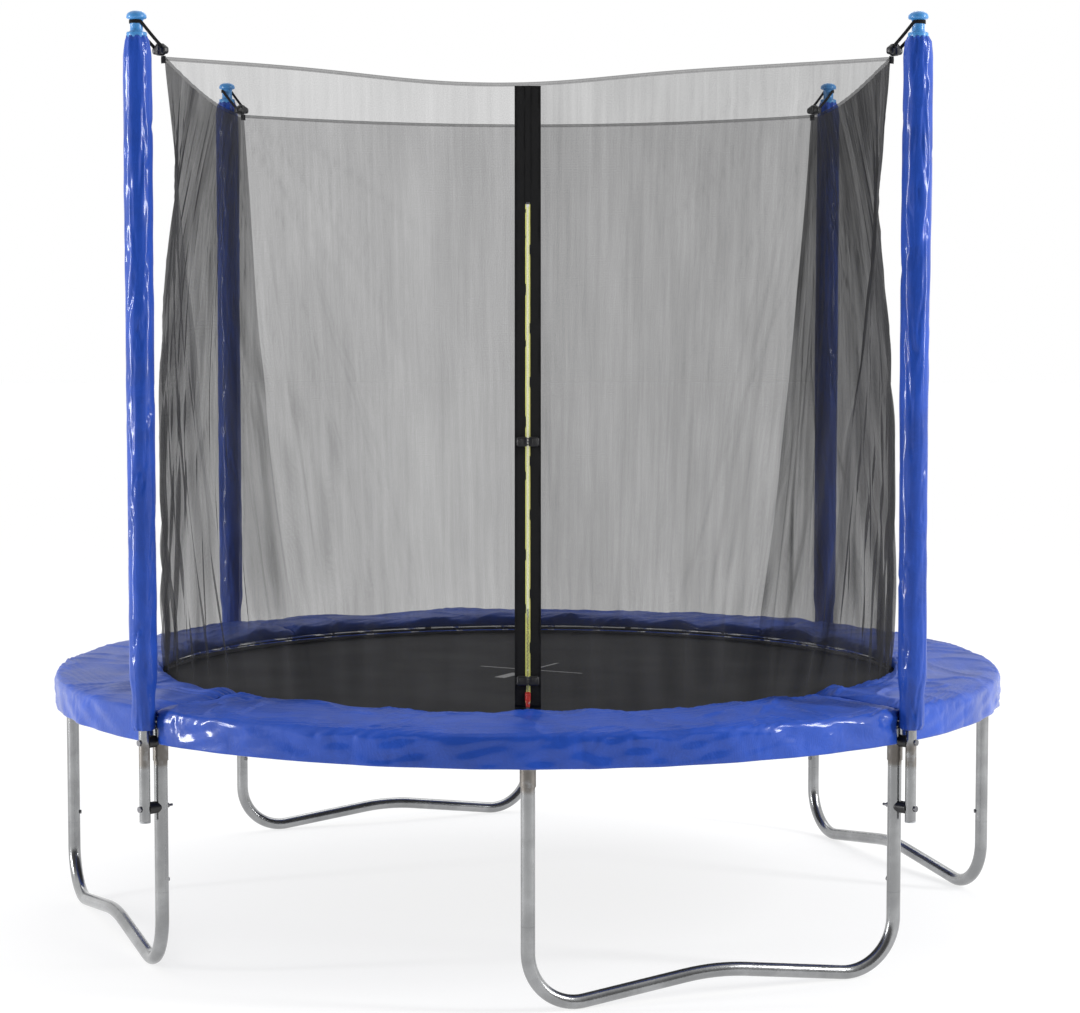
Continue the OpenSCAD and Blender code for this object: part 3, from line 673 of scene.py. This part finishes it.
def build_net():
    build_top_hem()
    panels = (("net_front_left", -135, -90.72, 200, (0.36, 0.36)),
              ("net_front_right", -89.28, -45, 200, (0.46, 0.47)),
              ("net_right", -45, 45, 400, (0.48, 0.92)), ("net_back", 45, 135, 400, (0.36, 0.36)),
              ("net_left", 135, 225, 400, (0.36, 0.84)))
    for name, a0, a1, cols, cover in panels:
        turn = -360 if a0 == 135 else 0
        cloth, flat = net_panel(name, a0 + turn, a1 + turn, cols, cover)


def build_top_hem():
    """Doubled net sewn round the top edge, as a flat band that follows the gathers."""
    a = np.linspace(-225, 135, 900, endpoint=False)
    z = net_top(a)
    r = net_radius(a, z) + net_folds(a, z)[0]
    path = polar(r, a, z + 0.0045)
    hem = carry(path, rounded(0.0026, 0.0090, 0.0011, 3), closed=True)
    length = np.concatenate([[0], np.cumsum(np.linalg.norm(np.diff(path, axis=0), axis=1))])
    ring = len(hem.verts) // len(path)
    hem.uv = np.stack([np.repeat(length, ring), np.tile(np.linspace(0, 0.02, ring), len(path))], -1)
    return piece("net_top_hem_tape", hem, MAT["net_hem"], replaces=["net_top_hem"])


def build_net_skirt():
    """The net's lower hem: a cloth ring that slopes from the net to the mat's hem and follows the mat."""
    a = np.linspace(0, 360, 361)[None, :]
    t = np.linspace(0, 1, 13)[:, None]
    reach = MAT_R - 0.003 - NET_BOTTOM_R
    r = NET_BOTTOM_R + 0.0005 + t * reach
    gathers = 0.0012 * np.sin(np.radians(a) * 96) * np.sin(np.pi * t)
    top, bottom = NET_LOW + 0.0015, high("mat_hem")[2] + 0.0015
    z = top + (bottom - top) * t + gathers
    points = polar(r, a, z)[:, :-1]
    solid = grid(points, wrap_cols=True)
    skirt = piece("net_lower_hem", solid, MAT["elastic"], body=None, replaces=["net_skirt"])
    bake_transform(skirt)


# ---------- mat, rings and springs ----------

def build_mat():
    """The woven mat as one taut sheet with a slight dish, and its folded hem."""
    r = np.linspace(0.0, MAT_R - 0.012, 60)[1:, None]
    a = np.linspace(0, 360, 193)[None, :-1]
    dish = -0.004 * (1 - (r / MAT_R) ** 2)
    ripple = 0.0010 * np.sin(np.radians(a) * SPRING_COUNT) * smooth((r / MAT_R - 0.8) / 0.2)
    points = polar(r, a, (MAT_TOP + MAT_BOTTOM) / 2 + dish + ripple)
    solid = grid(points, wrap_cols=True)
    centre = len(solid.verts)
    k = np.arange(192)
    solid.tris = np.stack([np.full(192, centre), k, (k + 1) % 192], -1)
    solid.verts = np.vstack([solid.verts, [[0, 0, (MAT_TOP + MAT_BOTTOM) / 2 - 0.004]]])
    cloth = piece("jump_mat_cloth", solid, MAT["mat"], "mat", ["jump_mat"])
    a = np.linspace(0, 360, 768, endpoint=False)
    scallop = -0.0015 * (1 - np.abs(np.cos(np.radians(a * SPRING_COUNT / 2))))
    path = polar(MAT_R - 0.0188 + scallop, a, (MAT_TOP + MAT_BOTTOM) / 2)
    hem = carry(path, rounded(0.037, 0.0058, 0.0024, 4), closed=True)
    piece("mat_hem_webbing", hem, MAT["mat_hem"], "mat", ["mat_hem"])


def round_path(points, radius, steps=6):
    """A closed path through corner points with each corner rounded by a curve."""
    points = np.asarray(points, float)
    before, after = unit(np.roll(points, 1, 0) - points), unit(np.roll(points, -1, 0) - points)
    t = np.linspace(0, 1, steps)[None, :, None]
    p0, p1, p2 = (points + before * radius)[:, None], points[:, None], (points + after * radius)[:, None]
    return ((1 - t) ** 2 * p0 + 2 * t * (1 - t) * p1 + t ** 2 * p2).reshape(-1, 3)


SPRING_ANGLES = (np.arange(SPRING_COUNT) + 0.5) * 360 / SPRING_COUNT
RING_APEX = MAT_R + 0.020                           # the wire ring's point
SPRING_SPAN = (RING_APEX + 0.012, RING_R - 0.026)   # where a spring's coils begin and end


def build_v_rings():
    """Wire triangles: the base is sewn into the hem and the point takes a spring's hook."""
    z = (MAT_TOP + MAT_BOTTOM) / 2
    corners = [(MAT_R - 0.004, -0.019, z), (MAT_R - 0.004, 0.019, z), (RING_APEX, 0.0, z)]
    wire = carry(round_path(corners, 0.006), disc(0.0018, 6), closed=True)
    piece("v_ring_wires", joined([wire.moved(a) for a in SPRING_ANGLES]),
          MAT["spring"], "mat", ["v_rings"])


def spring_solid():
    """One coil spring along +X: the wire winds round the axis, narrows at each end and ends in a hook."""
    start, end = SPRING_SPAN
    turns, per = 26, 9
    t = np.linspace(0, 1, turns * per + 1)
    coil_r = 0.0083 * np.minimum(1, np.minimum(t, 1 - t) * turns / 1.4 + 0.12)
    a = t * turns * TAU
    x = start + 0.012 + (end - start - 0.024) * t
    coil = np.stack([x, coil_r * np.cos(a), coil_r * np.sin(a)], -1)
    h = np.linspace(0, 1, 8)[:, None]
    hook = 0.004
    curl = lambda tip, d: np.hstack([tip + d * hook * np.sin(h * np.pi), 0 * h, hook * np.cos(h * np.pi)])
    inner = curl(RING_APEX - 0.0035, -1)[::-1]
    outer = curl(RING_R - 0.0135, 1)
    path = np.vstack([inner, coil, outer])
    path[:, 2] += RING_Z
    up = np.broadcast_to([1.0, 0.0, 0.0], path.shape).copy()
    up[:len(inner)] = up[-len(outer):] = (0, 1, 0)
    return carry(path, disc(0.0015, 5), up)


def build_springs():
    spring = spring_solid()
    for k, a in enumerate(SPRING_ANGLES):
        coil = piece(f"spring_{k + 1:02d}", spring.moved(a), MAT["spring"], None, ["springs"])
        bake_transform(coil)


# ---------- pad ----------

def pad_profile():
    """The pad's section as (radius, height): up the skirt, over the crown to the inner edge and back below.

    Corners are rounded by averaging along an evenly spaced outline.
    """
    under = low("pad_section_1")[2] + 0.061
    corners = np.array([
        (PAD_OUTER - 0.0034, SKIRT_Z), (PAD_OUTER - 0.0004, SKIRT_Z),
        (PAD_OUTER, 0.607), (PAD_OUTER - 0.0025, 0.6165),
        (PAD_OUTER - 0.010, 0.6225), (PAD_OUTER - 0.040, PAD_TOP - 0.006), (1.085, PAD_TOP - 0.002),
        (PAD_INNER + 0.030, PAD_TOP), (PAD_INNER + 0.004, PAD_TOP - 0.006), (PAD_INNER + 0.0008, 0.617),
        (PAD_INNER + 0.005, under), (PAD_OUTER - 0.0042, under), (PAD_OUTER - 0.0042, under - 0.003)])
    closed = np.vstack([corners, corners[:1]])
    length = np.concatenate([[0], np.cumsum(np.linalg.norm(np.diff(closed, axis=0), axis=1))])
    at = np.linspace(0, length[-1], 170, endpoint=False)
    line = np.stack([np.interp(at, length, closed[:, k]) for k in (0, 1)], -1)
    return (np.roll(line, 1, 0) + 2 * line + np.roll(line, -1, 0)) / 4


PAD_WIDE = noise_waves(21, 8, 1.2, 4.0)
PAD_FINE = noise_waves(22, 12, 6.0, 14.0)
PAD_CREASE = noise_waves(23, 9, 2.5, 7.0)
PAD_WARP = noise_waves(24, 6, 1.5, 4.0)
PUCKER = noise_waves(25, 10, 7.0, 17.0, 1)


def pad_section(k):
    """One quarter of the pad: a stuffed strip with puckers along its two seams, broad folds over the top,
    soft creases, a wavy inner edge and ends that sink to the seam between two sections."""
    profile = pad_profile()
    r0, z0 = profile[:, 0][None, :], profile[:, 1][None, :]
    a0 = POLE_ANGLES[k] + 0.05
    gap = np.sqrt(np.maximum(0, (SLEEVE_R + 0.0014) ** 2 - (POLE_R - r0) ** 2))
    off = np.degrees(np.arcsin(gap / r0))
    t = np.linspace(0, 1, 361)[:, None]
    a = (a0 + off) + (89.9 - 2 * off) * t
    s = np.radians(a) * r0
    x, y = r0 * np.cos(np.radians(a)), r0 * np.sin(np.radians(a))
    width = PAD_OUTER - PAD_INNER
    across = np.clip((r0 - PAD_INNER) / width, 0, 1)
    is_top = smooth((z0 - 0.608) / 0.008)
    is_skirt = (1 - is_top) * smooth((r0 - (PAD_OUTER - 0.010)) / 0.004)
    near_in, near_out = np.exp(-across * width / 0.060), np.exp(-(1 - across) * width / 0.045)
    end = np.minimum(t, 1 - t) * np.pi / 2 * r0
    warp = uneven(PAD_WARP, x, y) * 0.06
    crease = np.maximum(0, 1 - np.abs(uneven(PAD_CREASE, x + warp, y - warp)) / 0.45) ** 1.5
    wide, fine = uneven(PAD_WIDE, x, y), uneven(PAD_FINE, x, y)
    middle = np.sin(np.pi * across) ** 0.6
    pucker = np.abs(uneven(PUCKER, s + warp)) - 0.5
    lift = (0.0048 * wide * middle + 0.0042 * crease * (0.25 + middle) + 0.0008 * fine
            + 0.0058 * pucker * near_in + 0.0030 * pucker * near_out * smooth((1 - across) / 0.03))
    lift = lift - 0.0075 * np.exp(-end / 0.014) + 0.004 * np.exp(-((end - 0.045) / 0.03) ** 2)
    edge_wave = uneven(PAD_WIDE, a / 22.0 + 0 * r0, 0 * a + 0.3)
    z = z0 + is_top * lift + is_top * (1 - across) ** 4 * 0.0060 * edge_wave
    inner_push = np.exp(-across * width / 0.03) * (0.0040 + 0.0040 * edge_wave)
    skirt_wave = is_skirt * (0.0019 * uneven(PAD_WIDE, a / 13.0, z0 * 9) + 0.0006 * fine
                             + 0.0020 * pucker * smooth((z0 - 0.585) / 0.03) - 0.0012 * crease)
    points = polar(r0 + inner_push + skirt_wave, a, z)
    cover = piece(f"pad_section_{k + 1}_cover", grid(points, wrap_cols=True, caps=True), MAT["pad"],
                  replaces=[f"pad_section_{k + 1}"])


def build_foams():
    """Foam tubes in the sleeves and foam strips in the pad, both pressed a little by their covers."""
    z = np.linspace(low("pole_foams")[2], high("pole_foams")[2], 60)[:, None]
    a = np.linspace(0, TAU, 40, endpoint=False)[None, :]
    ring = lambda r: np.stack([POLE_R + r * np.cos(a), r * np.sin(a), z + 0 * a], -1)
    outer = ring(0.0215 + 0.0005 * np.sin(3 * a + z * 21))
    tube = grid(np.concatenate([outer, ring(0.0133 + 0 * z * a)[::-1]]), wrap_rows=True, wrap_cols=True)
    piece("pole_foam_tubes", at_poles(tube), MAT["foam"],
          replaces=["pole_foams"])
    a = np.linspace(2.2, 87.8, 120)[:, None]
    r = np.array([PAD_INNER + 0.026, PAD_OUTER - 0.016, PAD_OUTER - 0.018, 1.085, PAD_INNER + 0.032])[None, :]
    z = np.array([0.6070, 0.6070, 0.6085, 0.6105, 0.6095])[None, :]
    strip = grid(polar(r, a, z + 0.0006 * np.sin(np.radians(a) * 20)), wrap_cols=True, caps=True)
    piece("pad_foam_strips", at_poles(strip), MAT["foam"],
          replaces=["pad_foams"])


def build_ties():
    """Elastic loops round the ring, a soft flat band each."""
    a = np.linspace(0, TAU, 28, endpoint=False)
    loop_r = (high("pad_ties")[2] - low("pad_ties")[2]) / 2 - 0.001
    path = np.stack([RING_R + loop_r * np.cos(a), 0 * a, RING_Z + loop_r * np.sin(a)], -1)
    loop = carry(path, rounded(0.0018, 0.018, 0.0008, 3), up=(0, 1, 0), closed=True)
    angles = [k * 45 + s * 15 for k in range(8) for s in (-1, 1)]
    piece("pad_tie_loops", joined([loop.moved(d) for d in angles]), MAT["elastic"],
          replaces=["pad_ties"])


# ---------- padded poles ----------

SLEEVE_TWIST = noise_waves(31, 10, 1.2, 6.0, 3)
SLEEVE_FINE = noise_waves(32, 12, 7.0, 24.0, 3)


def sleeve(k):
    """A tube of coated cloth over foam: slanting creases, dents, a welded seam inside, turned-in ends."""
    rows, sides = 420, 56
    t = np.linspace(0, 1, rows)[:, None]
    z = SLEEVE_Z[0] + (SLEEVE_Z[1] - SLEEVE_Z[0]) * t
    a = np.linspace(0, TAU, sides, endpoint=False)[None, :]
    near = (np.cos(a) * 0.16, np.sin(a) * 0.16)
    shift = k * 7.3
    wide = uneven(SLEEVE_TWIST, near[0] + shift, near[1], z * 0.55)
    crease = np.abs(uneven(SLEEVE_TWIST, near[0] * 1.8, near[1] * 1.8 + shift, z * 1.3 + near[0] * 1.5))
    fine = uneven(SLEEVE_FINE, near[0] + shift, near[1], z)
    ends = smooth((z - SLEEVE_Z[0]) / 0.012) * smooth((SLEEVE_Z[1] - z) / 0.012)
    seam = np.exp(-((np.angle(np.exp(1j * (a - np.pi)))) / 0.07) ** 2) * 0.0028
    full = 0.0050 * smooth((z - PAD_TOP - 0.02) / 0.05) * smooth((SLEEVE_Z[1] - z) / 0.05)
    r = SLEEVE_R - 0.0022 + full
    r = r + ends * (0.0013 * wide - 0.0026 * np.maximum(0, 1 - crease / 0.22) + 0.0005 * fine + seam)
    r = r - 0.0045 * (1 - ends)
    pucker = 0.0016 * np.sin(a * 9 + 2 * wide) * np.exp(-np.minimum(z - SLEEVE_Z[0], SLEEVE_Z[1] - z) / 0.03)
    r = r + pucker
    rim = np.stack([np.cos(a), np.sin(a)], -1)
    outer = np.concatenate([r[..., None] * rim, np.broadcast_to(z[..., None], r.shape + (1,))], -1)
    inner_r = SLEEVE_R - 0.0105
    edge = lambda row, rr, dz: np.concatenate([rr * rim[0], np.full((sides, 1), z[row, 0] + dz)], -1)[None]
    shell = np.concatenate([edge(0, inner_r, 0.02), edge(0, inner_r, 0.001), outer,
                            edge(-1, inner_r, -0.001), edge(-1, inner_r, -0.02)])
    solid = grid(shell, wrap_rows=True, wrap_cols=True)
    return piece(f"pole_sleeve_{k + 1}_cover", solid.moved(POLE_ANGLES[k], (POLE_R, 0, 0)), MAT["sleeve"],
                 replaces=[f"pole_sleeve_{k + 1}"])


def build_caps():
    """Azure mushroom caps: a collar, a waisted neck and a domed head with a soft rim."""
    collar, neck = low("pole_caps")[2], SLEEVE_Z[1] + 0.009
    head, top = STRAP_Z + 0.0068, high("pole_caps")[2]
    a = np.linspace(0, np.pi / 2, 9)
    dome = [(0.0225 * math.cos(q) + 0.0001, head + 0.006 + (top - head - 0.006) * math.sin(q)) for q in a]
    profile = [(0.0215, collar), (0.0230, collar + 0.001), (0.0232, neck - 0.003), (0.0222, neck - 0.0005),
               (0.0175, neck + 0.0002), (0.0150, neck + 0.003), (0.0143, neck + 0.008),
               (0.0146, head - 0.004), (0.0165, head - 0.001), (0.0212, head), (0.0230, head + 0.0025)] + dome
    cap = turned(profile).moved(0, (POLE_R, 0, 0))
    piece("pole_cap_mouldings", at_poles(cap), MAT["cap"],
          replaces=["pole_caps"])


def build_weld_beads():
    """Weld beads where each leg socket meets the ring, uneven round the joint."""
    a = np.linspace(0, TAU, 40, endpoint=False)
    wobble = 0.0006 * np.sin(a * 7) + 0.0004 * np.sin(a * 17 + 1)
    r = 0.0188 + wobble
    drop = np.sqrt(np.maximum(0, 0.0162 ** 2 - np.minimum(np.abs(r * np.cos(a)), 0.0160) ** 2))
    path = np.stack([RING_R + r * np.cos(a), r * np.sin(a), RING_Z - np.maximum(drop, 0.0055)], -1)
    bead = carry(path, disc(0.0020, 6), closed=True)
    piece("socket_weld_beads", joined([bead.moved(k * 45) for k in range(8)]), MAT["tube"])


# ---------- straps and buckles at the net's corners ----------

def build_corner_straps():
    """A strap loops round each cap's neck and runs down to the corner buckle. A tab joins the net to it."""
    half = np.linspace(np.pi / 2, -np.pi / 2, 15)
    ring = np.stack([POLE_R + 0.0160 * np.cos(half), 0.0160 * np.sin(half), STRAP_Z + 0 * half], -1)
    foot = np.array([BUCKLE_R + 0.004, 0.0, (low("strap_buckles")[2] + high("strap_buckles")[2]) / 2 + 0.003])
    t = np.linspace(0, 1, 12)[1:, None]
    sag = np.hstack([0 * t, 0 * t, -0.0012 * np.sin(np.pi * t)])
    down = ring[-1] + (np.array([foot[0], -0.0140, foot[2]]) - ring[-1]) * t + sag
    up = (ring[0] + (np.array([foot[0], 0.0140, foot[2]]) - ring[0]) * t + sag)[::-1]
    strap = carry(np.vstack([up, ring, down]), rounded(0.0017, 0.0084, 0.0007, 3))
    t = np.linspace(0, 1, 8)[:, None]
    tab_z = NET_HIGH - 0.0065 + 0.0165 * t
    tab = carry(np.hstack([NET_CORNER + 0.0036 + 0.0006 * np.sin(np.pi * t), 0 * t, tab_z]),
                rounded(0.016, 0.0021, 0.001, 3), up=(1, 0, 0))
    both = joined([strap, tab])
    piece("corner_strap_loops", at_poles(both), MAT["tape"],
          replaces=["net_straps"])


def build_corner_buckles():
    """Corner buckles: a rounded body with a raised middle bar, two side lobes and a release tongue."""
    centre = np.array([BUCKLE_R, 0, (low("strap_buckles")[2] + high("strap_buckles")[2]) / 2])
    parts = [block((0.018, 0.034, 0.020), 0.007, 0.005), block((0.021, 0.018, 0.028), 0.006, 0.006)]
    parts += [block((0.019, 0.015, 0.018), 0.006, 0.006).moved(0, (0, s * 0.0145, -0.002)) for s in (-1, 1)]
    parts.append(block((0.006, 0.010, 0.012), 0.002, 0.002).moved(0, (-0.008, 0, 0.006)))
    buckle = joined(parts).moved(0, centre)
    piece("corner_buckle_mouldings", at_poles(buckle), MAT["black"],
          replaces=["strap_buckles"])


# ---------- door ----------

def on_door(solid, z):
    """Places a piece made round the origin (x right, -y out, z along the zip) on the door at height z."""
    c, s = math.cos(DOOR_SLOPE), math.sin(DOOR_SLOPE)
    m = np.array([[1, 0, 0], [0, c, s], [0, -s, c]])
    verts = solid.verts @ m.T
    shift = (0, -NET_BOTTOM_R + math.tan(DOOR_SLOPE) * (z - NET_BASE), z)
    return Solid(verts + shift, solid.quads, solid.tris)


def door_strip(x0, x1, y0, y1, z0, z1, wave=0.0, steps=160, upright=False):
    """A slightly wavy webbing strip on the door between two heights. upright leaves out the slope."""
    rise = (z1 - z0) / (1 if upright else math.cos(DOOR_SLOPE))
    along = np.linspace(0, 1, steps)[:, None] * rise
    ripple = wave * (np.sin(along * 31 + x0 * 90) + 0.6 * np.sin(along * 73 + 1.3))
    path = np.hstack([(x0 + x1) / 2 + 0 * along, (y0 + y1) / 2 - np.abs(ripple) * 0.5, along])
    strip = carry(path, rounded(x1 - x0, y1 - y0, min(x1 - x0, y1 - y0) * 0.35, 3), up=(0, 1, 0))
    return strip.moved(0, (0, -NET_BOTTOM_R, z0)) if upright else on_door(strip, z0)


def build_door():
    """Two wide webbing tapes sewn together above the zip, pale zip tape and two rows of teeth."""
    top = net_top(np.array(-90.0)).item()
    zip_z = (low("zip_teeth")[2], high("zip_teeth")[2])
    for side, s in (("left", -1), ("right", 1)):
        xs = sorted((s * 0.0036, s * 0.030))
        tape = door_strip(*xs, -0.0031, -0.0013, NET_BASE, top, 0.0008)
        foot = door_strip(*xs, -0.0031, -0.0013, NET_LOW + 0.003, NET_BASE + 0.0006, steps=12, upright=True)
        edge = door_strip(*sorted((s * 0.0272, s * 0.0296)), -0.0037, -0.0030,
                          NET_BASE + 0.002, top - 0.002, 0.0004)
        piece(f"door_tape_{side}", joined([tape, foot, edge]), MAT["tape"],
              replaces=["door_tapes"])
        pale = door_strip(*sorted((s * 0.0034, s * 0.0056)), -0.0036, -0.0031, *zip_z)
        piece(f"zip_tape_{side}", pale, MAT["zip_tape"], replaces=["zip_teeth"])
    join = door_strip(-0.0062, 0.0062, -0.0038, -0.0020, zip_z[1] + 0.003, top, 0.0004, 60)
    piece("door_tape_join", join, MAT["tape"], replaces=["door_tapes"])
    pitch = 0.0030
    tooth = block((0.0027, 0.0022, 0.0021), 0.0006, 0.0005, 2)
    z = (np.arange(int((zip_z[1] - zip_z[0]) / pitch)) + 0.5) * pitch
    teeth = joined([tooth.moved(0, (s * 0.00205, -0.0024, h + s * pitch / 4)) for s in (-1, 1) for h in z])
    piece("zip_teeth_rows", on_door(teeth, zip_z[0]), MAT["zip_teeth"],
          replaces=["zip_teeth"])
    stop = block((0.0078, 0.0030, 0.0050), 0.001, 0.0008).moved(0, (0, -0.0026, 0.002))
    piece("zip_top_stop", on_door(stop, zip_z[1]), MAT["bolt"])


PIN_Y, PIN_Z = -0.0074, 0.005                       # the pull's pin, from the slider's middle


def facing(solid, x, y, z=0.0):
    """Turns a lying block to face the front, then moves it there."""
    a, b, c = solid.verts.T
    return Solid(np.stack([x + a, y + c, z + b], -1), solid.quads, solid.tris).outward()


def cross_pin(half, radius, sides):
    """A rod along X on the line of the pull's pin."""
    return carry([(x, PIN_Y, PIN_Z) for x in (-half, 0, half)], disc(radius, sides), up=(0, 0, 1))


def build_slider():
    """Red slider: a shield-shaped front plate, a back plate, a wedge, and a bridge with a pin."""
    front = block((0.0128, 0.0216, 0.0016), 0.0045, 0.0006)
    wedge = block((0.0007, 0.0034, 0.008), 0.0003, 0.0002).moved(0, (0, -0.0024, 0))
    parts = [facing(front, 0, -0.0048), facing(front, 0, 0.0001), wedge]
    for s in (-1, 1):
        parts.append(block((0.0016, 0.0034, 0.0052), 0.0006, 0.0005).moved(0, (s * 0.0047, -0.0070, PIN_Z)))
    pin = cross_pin(0.0053, 0.0008, 10)
    piece("zip_slider_body", on_door(joined(parts + [pin]), SLIDER_Z), MAT["slider"],
          "slider", ["zip_slider"])


def build_pull():
    """Red pull tab: a flat tapered tab with raised grip ribs, swinging from the slider's pin."""
    t = np.linspace(0, 1, 14)
    width = 0.0030 + 0.0014 * smooth(t * 1.6) + 0.0002 * np.sin(np.pi * t)
    z = 0.0046 - 0.0290 * t
    path = np.stack([0 * t, PIN_Y + 0 * t, z], -1)
    tab = carry(path, rounded(2, 0.42, 0.18, 3), up=(0, 1, 0), scale=width)
    rib = block((0.0052, 0.0008, 0.0010), 0.0003, 0.0003, 2)
    grip = [rib.moved(0, (0, -0.0084, -0.007 - 0.0035 * k)) for k in range(4)]
    solid = joined([tab, cross_pin(0.0030, 0.0015, 12)] + grip)
    piece("zip_pull_tab", on_door(solid, SLIDER_Z), MAT["pull"], "pull", ["zip_pull"])


def build_door_buckles():
    """Side-release buckles across the zip: a ribbed socket on the left, a two-armed clip on the right."""
    y = -0.0137
    bend = np.array([(0.0265, -0.0036, 0), (0.0272, -0.0070, 0), (0.0262, -0.0110, 0), (0.0225, y, 0)])
    strip = rounded(0.0016, 0.018, 0.0007, 3)
    flat = lambda size, corner, edge, steps, x, z=0.0: facing(block(size, corner, edge, steps), x, y, z)
    ribs = lambda tall, x: [flat((0.0012, 0.0150, tall), 0.0005, 0.0004, 2, x + 0.0030 * k) for k in range(4)]
    for z, name in zip(BUCKLE_ZS, ("bottom", "top")):
        body = [flat((0.0245, 0.0220, 0.0086), 0.0050, 0.0028, 5, -0.0127)] + ribs(0.0096, -0.0200)
        strap = carry(bend * (-1, 1, 1), strip)
        piece(f"door_socket_{name}", on_door(joined(body), z), MAT["black"],
              replaces=["door_buckle_sockets"])
        piece(f"door_strap_left_{name}", on_door(strap, z), MAT["tape"])
        clip = [flat((0.0235, 0.0220, 0.0084), 0.0050, 0.0028, 5, 0.0128)] + ribs(0.0094, 0.0110)
        clip += [flat((0.0165, 0.0030, 0.0040), 0.0012, 0.0010, 3, -0.0065, s * 0.0071) for s in (-1, 1)]
        clip.append(flat((0.0165, 0.0028, 0.0038), 0.0012, 0.0010, 3, -0.0065))
        piece(f"door_clip_{name}_moulding", on_door(joined(clip), z), MAT["black"],
              f"clip_{name}", [f"door_clip_{name}"])
        tail = carry(bend[::-1], strip)
        tail_piece = piece(f"door_strap_right_{name}", on_door(tail, z), MAT["tape"], None)
        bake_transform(tail_piece)


# ---------- materials of the CAD nodes that stay ----------

def dress_frame():
    """Gives each CAD node that is shown its own material."""
    finish = dict.fromkeys(("top_rail", "leg_base", "leg_uprights", "pole_lower", "pole_upper"), "tube")
    finish.update(pole_end_plugs="plug", pole_spacers="black", pole_bolts="bolt", leg_screws="bolt")
    for name, node in NODES.items():
        key = next((k for k in finish if name.startswith(k)), None)
        if key:
            node.data.materials.clear()
            node.data.materials.append(MAT[finish[key]])


# ---------- stage ----------

def build_stage():
    """A pale floor that glows with painted light and is dimmer towards the front, a light backdrop all round
    that is dimmer in front, and soft studio lights.
    """
    scene = bpy.context.scene
    scene.view_settings.view_transform = "Standard"
    scene.cycles.transparent_max_bounces = 48
    scene.cycles.use_denoising = True
    # Painted light: the floor glows by emission, fully from y -1.4 backwards and dimmer towards the front,
    # down to 0.6 at y -9.
    paint = Paint("floor_pale", (0.25, 0.25, 0.25), 0.95, Emission_Strength=0.758)
    paint.feed("Emission Color", paint.blend(paint.axes()[1].step(-9.0, -1.4), (0.60, 0.60, 0.60), (1, 1, 1)))
    corners = 60 * np.array([(-1, -1, 0), (1, -1, 0), (1, 1, 0), (-1, 1, 0)])
    piece("studio_floor", Solid(corners, [(0, 1, 2, 3)]), paint.mat, body=None)
    world = bpy.data.worlds.new("studio_backdrop")
    scene.world = world
    world.use_nodes = True
    tree = world.node_tree
    background = next(n for n in tree.nodes if n.type == "BACKGROUND")
    where = tree.nodes.new("ShaderNodeTexCoord")
    parts = tree.nodes.new("ShaderNodeSeparateXYZ")
    ramp = tree.nodes.new("ShaderNodeMapRange")
    ramp.interpolation_type = "SMOOTHSTEP"
    tree.links.new(where.outputs["Generated"], parts.inputs[0])
    tree.links.new(parts.outputs["Y"], ramp.inputs["Value"])
    for key, value in {"From Min": -0.85, "From Max": 0.05, "To Min": 0.08, "To Max": 1.0}.items():
        ramp.inputs[key].default_value = value
    tree.links.new(ramp.outputs[0], background.inputs["Strength"])
    background.inputs["Color"].default_value = (1, 1, 1, 1)
    area_light("key_right", (5.6, -2.2, 3.0), (0, 0, 1.0), (0.7, 3.6), 300)
    area_light("fill_left", (-5.5, -1.7, 1.5), (0, 0, 0.9), (0.5, 2.4), 190)
    area_light("top_back", (0.5, 4.5, 5.0), (0, 0, 0.8), (5.0, 2.0), 60)


# ---------- build ----------

make_camera()
build_net()
build_net_skirt()
build_mat()
build_v_rings()
build_springs()
for quarter in range(4):
    pad_section(quarter)
    sleeve(quarter)
build_foams()
build_ties()
build_caps()
build_weld_beads()
build_corner_straps()
build_corner_buckles()
build_door()
build_slider()
build_pull()
build_door_buckles()
dress_frame()
build_stage()
